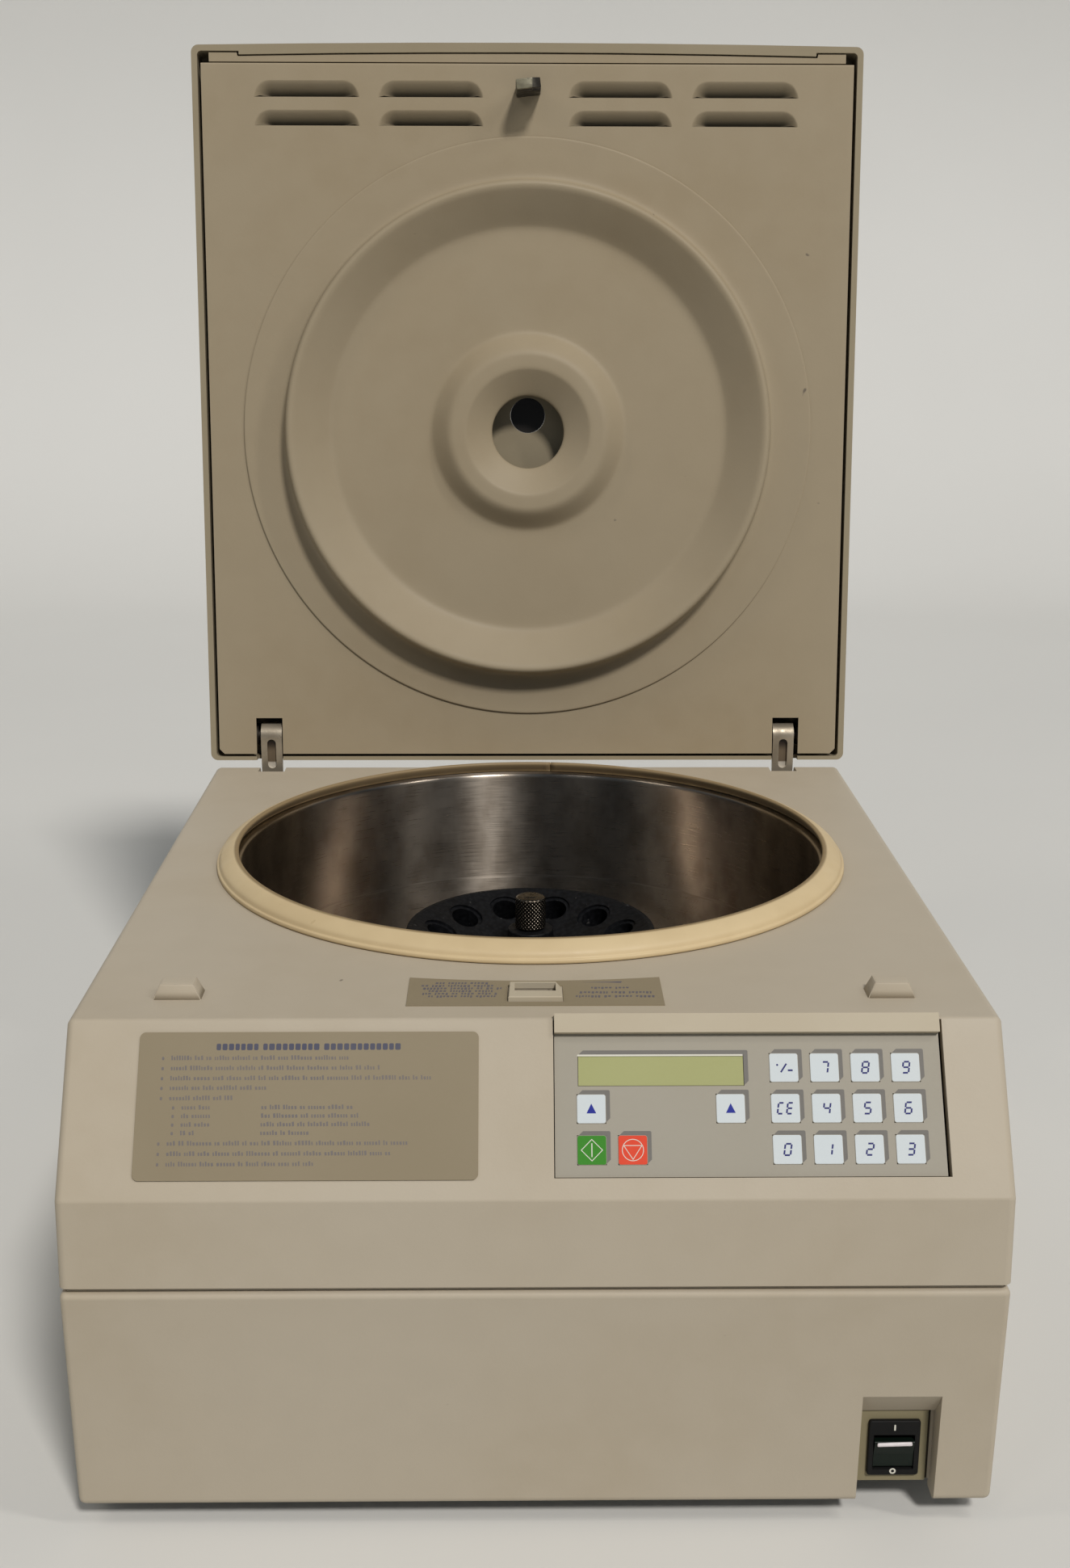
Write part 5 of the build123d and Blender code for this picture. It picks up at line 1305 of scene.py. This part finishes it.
    def build_striker(self) -> bpy.types.Object:
        """The hook that the bolt holds: a bar with a notch and a ramped end, bent a little out of square.

        Ring k is a rounded rectangle whose right edge is r_k, at height h_k over the panel, turned by
        a few degrees about the bar's axis.
        """
        levels = ((0.0, 8.2, 3.3), (19.2, 8.2, 3.3), (19.2, 2.9, 3.3), (24.8, 2.9, 3.3), (24.8, 8.2, 3.3),
                  (25.9, 8.2, 3.3), (28.5, 3.2, 3.3), (28.8, 2.5, 3.15), (28.95, 2.1, 2.8))
        rings = []
        for height, right, half in levels:
            draw = 3.3 - half
            outline = rounded_rectangle(-8.2 + draw, right, -half, half, 0.7, 4)
            rings.append(np.column_stack([outline, np.full(len(outline), height)]))
        count = len(rings[0])
        points = np.concatenate(rings)
        turn = math.radians(self.striker_turn)
        x = points[:, 0] * math.cos(turn) - points[:, 1] * math.sin(turn)
        s = points[:, 0] * math.sin(turn) + points[:, 1] * math.cos(turn) + self.striker_s
        faces = grid_faces(len(rings), count, wrap_columns=True).tolist()
        faces.append(list(range(count))[::-1])
        faces.append([count * (len(rings) - 1) + number for number in range(count)])
        striker = mesh_piece("striker_hook", LID.place(x, s, points[:, 2]), faces, "lid", FINISH.striker.material())
        merge_points(striker)
        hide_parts("latch_striker")
        return striker


@dataclass
class HingeFittings:
    """Straps, bushes, pins and ears of the hinge."""

    def build(self) -> list[str]:
        """Dresses the hinge's nodes."""
        dress("hinge_arms", FINISH.strap)
        dress("hinge_bushes", FINISH.pin)
        dress("hinge_pins", FINISH.pin)
        dress("lid_hinge_ears", FINISH.pin)
        return ["hinge_arms"]


class Legend(Enum):
    """What is printed on a key."""

    POINT_SIGN = "point and sign"
    CLEAR = "clear entry"
    ARROW = "arrow"
    START = "start"
    STOP = "stop"
    DIGIT = "digit"


@dataclass
class ControlModule:
    """Hooded frame, overlay, display, keys and their printing."""

    key_size: float = 13.5
    pitch: float = 19.33
    number_pitch: float = 19.45
    key_top: float = 17.1
    numbers_left: float = 111.6
    left: float = 19.3
    right_arrow: float = 85.5
    key_face: float = -1.3
    overlay_face: float = -1.6
    film: float = 0.05
    display: tuple[float, float, float, float] = (19.8, 99.2, 17.4, 32.4)
    segments: dict[str, str] = field(default_factory=lambda: {
        "0": "abcdef", "1": "bc", "2": "abged", "3": "abgcd", "4": "fgbc", "5": "afgcd", "6": "afgcde",
        "7": "abc", "8": "abcdefg", "9": "abfgcd", "C": "adef", "E": "adefg"})

    def film_piece(self, name: str, outlines: Sequence[np.ndarray], base: float, body: str, finish: Finish,
                   loops: Sequence[np.ndarray] = ()) -> bpy.types.Object:
        """A thin printed film on the fascia, made of flat outlines.

        Args:
            name: piece name.
            outlines: outlines as (x, s) points.
            base: level that the film lies on.
            body: the body it rides on.
            finish: its finish.
            loops: pairs of rings printed as bands.

        Returns:
            The film.
        """
        parts = [prism(self.outward(outline), base, base + self.film) for outline in outlines]
        parts += [ring_prism(loop, base, base + self.film) for loop in loops]
        points, faces = joined(parts)
        placed = FASCIA.place(points[:, 0], points[:, 1], points[:, 2])
        piece = mesh_piece(name, placed, faces, body, finish.material(), smooth=False)
        merge_points(piece, 1e-7)
        return piece

    @staticmethod
    def outward(outline: np.ndarray) -> np.ndarray:
        """The outline ordered so that its prism faces outward on the fascia."""
        x, s = outline[:, 0], outline[:, 1]
        area = np.sum(x * np.roll(s, -1) - np.roll(x, -1) * s)
        return outline if area < 0 else outline[::-1]

    def places(self) -> dict[str, tuple[float, float, Legend, str]]:
        """Every key's node ending, left edge, top edge and legend."""
        keys: dict[str, tuple[float, float, Legend, str]] = {}
        rows = (("point", "7", "8", "9"), ("clear", "4", "5", "6"), ("0", "1", "2", "3"))
        kinds = {"point": Legend.POINT_SIGN, "clear": Legend.CLEAR}
        for row, names in enumerate(rows):
            for column, name in enumerate(names):
                keys[name] = (self.numbers_left + column * self.number_pitch, self.key_top + row * self.pitch,
                              kinds.get(name, Legend.DIGIT), name)
        arrows = self.key_top + self.pitch
        keys["left_arrow"] = (self.left, arrows, Legend.ARROW, "")
        keys["right_arrow"] = (self.right_arrow, arrows, Legend.ARROW, "")
        keys["start"] = (self.left, arrows + self.pitch, Legend.START, "")
        keys["stop"] = (self.left + self.pitch, arrows + self.pitch, Legend.STOP, "")
        return keys

    def drop_shadow(self, x0: float, x1: float, top: float, bottom: float, reach: float = 2.15) -> np.ndarray:
        """Printed shadow up and to the right of a rectangle, as if it stood up from the overlay."""
        return np.array([(x0 + 0.4, top - 0.02), (x0 + 0.5 + reach, top - reach), (x1 + reach - 0.5, top - reach),
                         (x1 + reach, top - reach + 0.5), (x1 + reach, bottom - reach - 0.2),
                         (x1 - 0.02, bottom - 0.3), (x1 - 0.02, top - 0.02)])

    def segment_digit(self, letters: str, cx: float, cs: float, width: float, height: float) -> list[np.ndarray]:
        """Seven-segment digit, slanted: thin bars cut at their ends.

        Args:
            letters: which segments are printed.
            cx: middle across.
            cs: middle down the slope.
            width: distance between the upright segments.
            height: full height between the level segments.

        Returns:
            One outline for each printed segment.
        """
        half_w, half_h, gap = width / 2, height / 2, 0.30
        ends = {"a": ((-half_w, half_h), (half_w, half_h)), "b": ((half_w, half_h), (half_w, 0)),
                "c": ((half_w, 0), (half_w, -half_h)), "d": ((half_w, -half_h), (-half_w, -half_h)),
                "e": ((-half_w, -half_h), (-half_w, 0)), "f": ((-half_w, 0), (-half_w, half_h)),
                "g": ((-half_w, 0), (half_w, 0))}
        outlines = []
        for letter in letters:
            (ax, ay), (bx, by) = ends[letter]
            start, end = np.array([ax, ay]), np.array([bx, by])
            way = (end - start) / np.linalg.norm(end - start)
            line = np.stack([start + way * gap, end - way * gap])
            bar = stroke(line, 0.82)
            slanted = np.stack([cx + bar[:, 0] + 0.16 * bar[:, 1], cs - bar[:, 1]], axis=-1)
            outlines.append(slanted)
        return outlines

    def legend_piece(self, key: str, x: float, s: float, kind: Legend, text: str) -> bpy.types.Object:
        """The printing on one key, riding with it.

        Args:
            key: ending of the key's node.
            x: left edge of the key.
            s: upper edge of the key, down the slope.
            kind: what is printed.
            text: numeral that a digit key shows.

        Returns:
            The printed film.
        """
        cx, cs = x + self.key_size / 2, s + self.key_size / 2
        body = "button_" + key
        face = self.key_face
        name = "legend_" + key
        if kind is Legend.DIGIT:
            return self.film_piece(name, self.segment_digit(self.segments[text], cx + 0.2, cs, 3.0, 5.3), face,
                                   body, FINISH.legend)
        if kind is Legend.CLEAR:
            outlines = self.segment_digit(self.segments["C"], cx - 2.3, cs, 2.6, 5.1)
            outlines += self.segment_digit(self.segments["E"], cx + 2.1, cs, 2.6, 5.1)
            return self.film_piece(name, outlines, face, body, FINISH.legend)
        if kind is Legend.POINT_SIGN:
            dot = arc((cx - 3.1, cs - 1.3), 0.5, 0, 330, 12)
            bar = stroke([(cx - 1.5, cs + 2.2), (cx + 1.3, cs - 1.9)], 0.8)
            dash = stroke([(cx + 1.9, cs + 1.3), (cx + 4.2, cs + 1.3)], 0.85)
            return self.film_piece(name, [dot, bar, dash], face, body, FINISH.legend)
        if kind is Legend.ARROW:
            triangle = np.array([(cx, cs - 2.5), (cx + 2.3, cs + 2.1), (cx - 2.3, cs + 2.1)])
            return self.film_piece(name, [triangle], face, body, FINISH.arrow)
        if kind is Legend.START:
            diamond = stroke([(cx, cs - 5.0), (cx + 5.0, cs), (cx, cs + 5.0), (cx - 5.0, cs)], 0.36, closed=True)
            bar = stroke([(cx, cs - 3.2), (cx, cs + 3.2)], 0.5)
            return self.film_piece(name, [bar], face, body, FINISH.white, loops=[diamond])
        circle = stroke(arc((cx, cs), 5.0, 0, 352.5, 48), 0.34, closed=True)
        triangle = stroke([(cx - 4.3, cs - 2.1), (cx + 4.3, cs - 2.1), (cx, cs + 4.4)], 0.34, closed=True)
        return self.film_piece(name, [], face, body, FINISH.white, loops=[circle, triangle])

    def build_key(self, key: str, x: float, s: float, kind: Legend) -> bpy.types.Object:
        """One key: a thin plate with rounded corners and a softened upper edge.

        Its outline shrinks and rises along a quarter circle, and the top is closed by one face.

        Args:
            key: ending of the key's node.
            x: left edge of the key.
            s: upper edge of the key, down the slope.
            kind: what the key does, which sets its colour.

        Returns:
            The key's plate.
        """
        size = self.key_size
        levels = [(-0.2, -1.9), (-0.2, -1.5), (0.0, -1.37), (0.25, self.key_face)]
        rings = []
        for inset, level in levels:
            outline = rounded_rectangle(x + inset, x + size - inset, s + inset, s + size - inset, 1.0 - inset)
            rings.append(np.column_stack([outline[::-1], np.full(len(outline), level)]))
        count = len(rings[0])
        points = np.concatenate(rings)
        faces = grid_faces(len(rings), count, wrap_columns=True).tolist()
        faces.append(list(range(count - 1, -1, -1)))
        faces.append([count * (len(rings) - 1) + number for number in range(count)])
        finish = {Legend.START: FINISH.green, Legend.STOP: FINISH.red}.get(kind, FINISH.key)
        placed = FASCIA.place(points[:, 0], points[:, 1], points[:, 2])
        piece = mesh_piece("plate_" + key, placed, faces, "button_" + key, finish.material(), smooth=False)
        piece.data.materials.append(FINISH.overlay.material())
        slots = np.zeros(len(faces), dtype=np.int32)
        slots[:2 * count] = 1
        piece.data.polygons.foreach_set("material_index", slots)
        merge_points(piece, 1e-7)
        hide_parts("key_" + key)
        return piece

    def build(self) -> list[str]:
        """Dresses the module's nodes and builds its keys and printing."""
        dress("control_frame", FINISH.frame)
        dress("keypad_overlay", FINISH.overlay)
        dress("display_window", FINISH.display)
        names = []
        shadows = []
        for key, (x, s, kind, text) in self.places().items():
            names.append(self.build_key(key, x, s, kind).name)
            legend = self.legend_piece(key, x, s, kind, text)
            shadows.append(self.drop_shadow(x, x + self.key_size, s, s + self.key_size))
        x0, x1, top, bottom = self.display
        shadows.append(self.drop_shadow(x0, x1, top, bottom, 2.1))
        shadow = self.film_piece("key_shadows", shadows, self.overlay_face, "base", FINISH.shadow)
        line = np.array([(x0 - 0.2, top - 0.1), (x1 - 0.3, top - 0.1),
                         (x1 - 0.3, top + 0.75), (x0 - 0.2, top + 0.75)])
        edge = self.film_piece("display_edge", [line], self.overlay_face + self.film, "base", FINISH.white)
        return names + [shadow.name, edge.name]


@dataclass
class PrintedPlates:
    """Instruction plate on the fascia and the latch plate on the flat top."""

    plate_face: float = 0.8
    film: float = 0.05
    heading_left: float = -152.3
    seed: int = 11

    def letters(self, x: float, length: float, s: float, height: float, rng: np.random.Generator,
                short: float = 2.0, long: float = 9.0) -> list[np.ndarray]:
        """A line of print too small to read: letter-sized blocks grouped in words.

        Args:
            x: where the line starts.
            length: how far it runs.
            s: middle of the line.
            height: height of a small letter.
            rng: source of uneven widths.
            short: fewest letters in a word.
            long: most letters in a word.

        Returns:
            One outline for each letter.
        """
        blocks: list[np.ndarray] = []
        at = x
        while at < x + length - height:
            for _ in range(int(rng.uniform(short, long))):
                wide = height * float(rng.uniform(0.42, 0.78))
                tall = height * float(rng.choice([1.0, 1.0, 1.35]))
                if at + wide > x + length:
                    break
                blocks.append(rounded_rectangle(at, at + wide, s + height / 2 - tall, s + height / 2, wide * 0.2, 1))
                at += wide + height * 0.22
            at += height * 0.62
        return blocks

    def build_instructions(self) -> list[bpy.types.Object]:
        """A heading of three words and rows of unreadable print, numbered by dots."""
        rng = np.random.default_rng(self.seed)
        pale: list[np.ndarray] = []
        strong: list[np.ndarray] = []
        at = self.heading_left
        for letters in (7, 9, 12):
            for _ in range(letters):
                wide = float(rng.uniform(2.0, 2.7))
                strong.append(rounded_rectangle(at, at + wide, 12.0, 15.1, 0.4, 2))
                at += wide + 0.7
            at += 1.6
        rows = ((0.0, 85, 19.0), (0.0, 100, 23.8), (0.0, 125, 28.6), (0.0, 48, 33.2), (0.0, 30, 38.0),
                (6.0, 14, 42.4), (6.0, 14, 46.4), (6.0, 14, 50.4), (6.0, 8, 54.4), (0.0, 113, 59.2),
                (0.0, 106, 64.0), (0.0, 70, 68.8))
        for indent, length, s in rows:
            start = -173.6 + indent
            pale.append(rounded_rectangle(start - 4.4, start - 3.3, s - 0.75, s + 0.75, 0.25, 2))
            pale += self.letters(start, length, s, 1.7, rng)
        for length, s in ((44, 42.4), (46, 46.4), (53, 50.4), (24, 54.4)):
            pale += self.letters(-130.0, length, s, 1.7, rng)
        made = []
        for name, outlines, finish in (("plate_heading", strong, FINISH.ink), ("plate_rows", pale, FINISH.pale_ink)):
            parts = [prism(ControlModule.outward(outline), self.plate_face, self.plate_face + self.film)
                     for outline in outlines]
            points, faces = joined(parts)
            placed = FASCIA.place(points[:, 0], points[:, 1], points[:, 2])
            piece = mesh_piece(name, placed, faces, "base", finish.material(), smooth=False)
            made.append(piece)
        return made

    def build_latch_print(self) -> bpy.types.Object:
        """Rows of unreadable print on both sides of the latch frame."""
        rng = np.random.default_rng(self.seed + 1)
        outlines: list[np.ndarray] = []
        for x, length, y in ((-50, 30, 44.5), (-57, 40, 41.0), (-56, 40, 37.5), (-53, 34, 34.0), (-56, 38, 30.5),
                             (-53, 34, 27.0), (28, 22, 38.0), (22, 36, 32.0), (20, 40, 26.8)):
            outlines += self.letters(float(x), float(length), float(y), 2.1, rng)
        outlines.append(np.array([(24.0, 45.4), (38.0, 45.9), (44.0, 46.6), (43.4, 44.4), (38.0, 44.9)]))
        parts = [prism(outline, 252.5, 252.5 + self.film) for outline in outlines]
        points, faces = joined(parts)
        piece = mesh_piece("latch_print", points, faces, "base", FINISH.latch_ink.material(), smooth=False)
        merge_points(piece, 1e-7)
        return piece

    def build(self) -> list[str]:
        """Dresses the plates and prints them."""
        dress("instruction_plate", FINISH.label)
        dress("latch_label", FINISH.label)
        dress("latch_frame", FINISH.frame)
        dress("lock_housing", FINISH.black)
        dress("lock_bolt", FINISH.steel)
        return [piece.name for piece in (*self.build_instructions(), self.build_latch_print())]


@dataclass
class MainsSwitch:
    """Recess plate, bezel and rocker, with their marks."""

    middle_x: float = 177.0
    bezel_y: float = -35.2
    pivot_y: float = -29.4
    pivot_z: float = 35.4
    tilt: float = 10.0
    slant: float = 0.03
    film: float = 0.06
    seat_depth: float = -3.7

    def upright_film(self, name: str, parts: list[tuple[np.ndarray, list[list[int]]]], body: str,
                     finish: Finish) -> bpy.types.Object:
        """A film on an upright face: (x, z, depth) points go to (x, face - depth, z)."""
        points, faces = joined(parts)
        placed = np.stack([points[:, 0], self.bezel_y - points[:, 2], points[:, 1]], axis=-1)
        piece = mesh_piece(name, placed, faces, body, finish.material(), smooth=False)
        merge_points(piece, 1e-7)
        return piece

    def build_marks(self) -> bpy.types.Object:
        """The printed bar above the rocker and the ring below it."""
        bar = prism(rounded_rectangle(self.middle_x - 0.42, self.middle_x + 0.42, 47.7, 51.0, 0.3, 3), 0.0, self.film)
        ring = ring_prism(np.concatenate([arc((self.middle_x, 24.75), 1.6, 0, 352, 45),
                                          arc((self.middle_x, 24.75), 0.8, 0, 352, 45)]), 0.0, self.film)
        marks = self.upright_film("switch_marks", [bar, ring], "base", FINISH.white)
        return marks

    def build_gap(self) -> bpy.types.Object:
        """A dark film in the joint between the plate and the recess, painted shade along the plate's upper and right
        edges.
        """
        low, high = self.seat_depth - 0.02, self.seat_depth + self.film
        top = prism(rounded_rectangle(158.6, 193.7, 57.7, 58.35, 0.1, 2), low, high)
        side = prism(rounded_rectangle(193.75, 195.0, 18.2, 58.35, 0.1, 2), low, high)
        gap = self.upright_film("switch_gap", [top, side], "base", FINISH.gap_shade)
        return gap

    def build_ridge(self) -> bpy.types.Object:
        """The ridge along the rocker's upper edge, its pale colour a painted highlight.

        Its section is a half round carried along the rocker and closed at both ends by smaller
        copies of itself; the whole is tipped with the rocker about its axle.
        """
        turn = np.linspace(0.0, math.pi, 13)
        section = np.column_stack([-6.35 - 0.75 * np.sin(turn), 6.75 + 1.1 * np.cos(turn)])
        section = np.concatenate([section, [(-5.9, 5.65), (-5.9, 7.85)]])
        spans = [(-8.6, 0.55), (-8.45, 0.85), (-8.1, 1.0), (8.1, 1.0), (8.45, 0.85), (8.6, 0.55)]
        middle = section.mean(axis=0)
        rings = [np.column_stack([np.full(len(section), x), middle + (section - middle) * scale])
                 for x, scale in spans]
        points = np.concatenate(rings)
        points[:, 2] += self.slant * points[:, 0]
        count = len(section)
        faces = grid_faces(len(rings), count, wrap_columns=True).tolist()
        faces.append(list(range(count)))
        faces.append([count * (len(rings) - 1) + number for number in range(count)])
        turn_x = math.radians(self.tilt)
        y = points[:, 1] * math.cos(turn_x) - points[:, 2] * math.sin(turn_x)
        z = points[:, 1] * math.sin(turn_x) + points[:, 2] * math.cos(turn_x)
        placed = np.stack([points[:, 0] + self.middle_x, y + self.pivot_y, z + self.pivot_z], axis=-1)
        highlight_ridge = mesh_piece("rocker_ridge", placed, faces, "rocker", FINISH.highlight_ridge.material())
        merge_points(highlight_ridge)
        return highlight_ridge

    def build(self) -> list[str]:
        """Dresses the switch's nodes and adds its marks."""
        dress("switch_plate", FINISH.switch_plate)
        dress("switch_bezel", FINISH.black)
        dress("mains_rocker", FINISH.rocker)
        return ["switch_plate", "switch_bezel", "mains_rocker", self.build_marks().name, self.build_gap().name,
                self.build_ridge().name]


@dataclass
class Studio:
    """Floor, lamps, world and camera."""

    eye: tuple[float, float, float] = (-11.32, -825.82, 598.02)
    yaw: float = -0.01283
    pitch: float = 0.27072
    roll: float = 0.00235
    focal_pixels: float = 2289.4
    width_pixels: float = 1325.0
    ambient: float = 0.095
    world_tint: Colour = (0.72, 0.96, 1.25)
    world_seen: Colour = (0.60, 0.60, 0.58)
    strip_elevation: float = 45.0
    strip_distance: float = 2.6
    strip_height: float = 1.0
    strips: tuple[tuple[str, float, float, float, Colour], ...] = (
        ("right strip", 60.0, 0.13, 0.17, (1.0, 0.96, 0.90)),
        ("front strip", -27.0, 0.3, 0.03, (1.0, 0.96, 0.90)),
        ("left strip", -69.0, 0.26, 0.085, (1.0, 0.92, 0.80)))

    def build_camera(self) -> None:
        """Puts the camera where the machine is seen from the front and above."""
        camera = bpy.data.cameras.new("camera")
        camera.sensor_fit = "HORIZONTAL"
        camera.sensor_width = 36.0
        camera.lens = self.focal_pixels / self.width_pixels * 36.0
        camera.clip_start, camera.clip_end = 0.05, 60.0
        eye = bpy.data.objects.new("camera", camera)
        bpy.context.scene.collection.objects.link(eye)
        ahead = np.array([-math.sin(self.yaw) * math.cos(self.pitch), math.cos(self.yaw) * math.cos(self.pitch),
                          -math.sin(self.pitch)])
        right = np.array([math.cos(self.yaw), math.sin(self.yaw), 0.0])
        up = np.cross(right, ahead)
        turned_right = math.cos(self.roll) * right + math.sin(self.roll) * up
        turned_up = -math.sin(self.roll) * right + math.cos(self.roll) * up
        matrix = np.eye(4)
        matrix[:3, 0], matrix[:3, 1], matrix[:3, 2] = turned_right, turned_up, -ahead
        matrix[:3, 3] = BENCH.metres(np.array(self.eye))
        eye.matrix_world = Matrix(matrix.tolist())
        bpy.context.scene.camera = eye

    def build_floor(self) -> None:
        """A wide pale floor that curves up into a backdrop.

        The profile runs level, then through a quarter circle, then up; it is the same all across.
        """
        bend = arc((2.2, 1.2), 1.2, -90, 0, 25)
        profile = np.concatenate([[(-7.0, 0.0), (-3.0, 0.0), (0.0, 0.0)], bend, [(3.4, 5.5)]])
        across = np.linspace(-7.0, 7.0, 3)
        points = np.stack([np.broadcast_to(across, (len(profile), 3)),
                           np.repeat(profile[:, :1], 3, axis=1), np.repeat(profile[:, 1:], 3, axis=1)], axis=-1)
        mesh = bpy.data.meshes.new("floor")
        mesh.from_pydata(points.reshape(-1, 3).tolist(), [], grid_faces(len(profile), 3)[:, ::-1].tolist())
        mesh.polygons.foreach_set("use_smooth", np.full(len(mesh.polygons), True))
        floor = bpy.data.objects.new("floor", mesh)
        bpy.context.scene.collection.objects.link(floor)
        mesh.materials.append(FloorFinish("pale floor").material())

    @staticmethod
    def facing(azimuth: float, elevation: float, distance: float) -> Matrix:
        """Place of a lamp that looks at the machine from a direction.

        Args:
            azimuth: degrees to the right of the front.
            elevation: degrees above the bench.
            distance: metres from the machine.

        Returns:
            The lamp's matrix.
        """
        turn, lift = math.radians(azimuth), math.radians(elevation)
        back = np.array([math.sin(turn) * math.cos(lift), -math.cos(turn) * math.cos(lift), math.sin(lift)])
        right = np.array([math.cos(turn), math.sin(turn), 0.0])
        matrix = np.eye(4)
        matrix[:3, 0], matrix[:3, 1], matrix[:3, 2] = right, np.cross(back, right), back
        matrix[:3, 3] = np.array([0.0, 0.0, 0.35]) + back * distance
        return Matrix(matrix.tolist())

    def sun(self, name: str, azimuth: float, elevation: float, spread: float, level: float,
            colour: Colour = (1.0, 1.0, 1.0)) -> None:
        """A far soft lamp.

        Args:
            name: lamp name.
            azimuth: degrees to the right of the front.
            elevation: degrees above the bench.
            spread: how wide it looks, in degrees.
            level: share of full brightness that it gives a surface facing it.
            colour: its colour.
        """
        data = bpy.data.lights.new(name, "SUN")
        data.energy = level * math.pi
        data.angle = math.radians(spread)
        data.color = colour
        lamp = bpy.data.objects.new(name, data)
        bpy.context.scene.collection.objects.link(lamp)
        lamp.matrix_world = self.facing(azimuth, elevation, 3.0)

    def strip(self, name: str, azimuth: float, elevation: float, distance: float, size: tuple[float, float],
              level: float, colour: Colour = (1.0, 1.0, 1.0)) -> None:
        """A rectangular lamp that faces the machine.

        Args:
            name: lamp name.
            azimuth: degrees to the right of the front.
            elevation: degrees above the bench.
            distance: metres from the machine.
            size: width and height in metres.
            level: share of full brightness that it gives a surface facing it.
            colour: its colour.
        """
        data = bpy.data.lights.new(name, "AREA")
        data.shape = "RECTANGLE"
        data.size, data.size_y = size
        data.energy = level * math.pi ** 2 * distance ** 2
        data.color = colour
        lamp = bpy.data.objects.new(name, data)
        bpy.context.scene.collection.objects.link(lamp)
        lamp.matrix_world = self.facing(azimuth, elevation, distance)

    def build_world(self) -> None:
        """An even surround: pale where the camera looks past the floor, dim in the light that it gives."""
        world = bpy.data.worlds.new("surround")
        world.use_nodes = True
        background = world.node_tree.nodes["Background"]
        tree = Tree(world.node_tree)
        path = tree.add("ShaderNodeLightPath")
        given = tuple(self.ambient * share for share in self.world_tint)
        tree.put(background, "Color", tree.mix(path.outputs["Is Camera Ray"], given, self.world_seen))
        tree.put(background, "Strength", 1.0)
        bpy.context.scene.world = world

    def build(self) -> list[str]:
        """Builds camera, floor, lamps and world."""
        self.build_camera()
        self.build_floor()
        self.sun("key", 21.0, 46.5, 9.0, 0.69, (1.0, 0.972, 0.935))
        for name, azimuth, width, level, colour in self.strips:
            self.strip(name, azimuth, self.strip_elevation, self.strip_distance, (width, self.strip_height), level,
                       colour)
        self.build_world()
        return ["camera", "floor"]


def main() -> None:
    """Builds the studio and every sub-assembly in order."""
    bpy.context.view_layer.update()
    bpy.context.scene.view_settings.view_transform = "Standard"
    builders = (Studio(), CaseBody(), RestPads(), BowlAndSeal(), RotorDrive(), LidInside(), HingeFittings(),
                ControlModule(), PrintedPlates(), MainsSwitch())
    for builder in builders:
        for name in builder.build():
            LOG.info("%s: %s", type(builder).__name__, name)


if __name__ == "__main__":
    main()
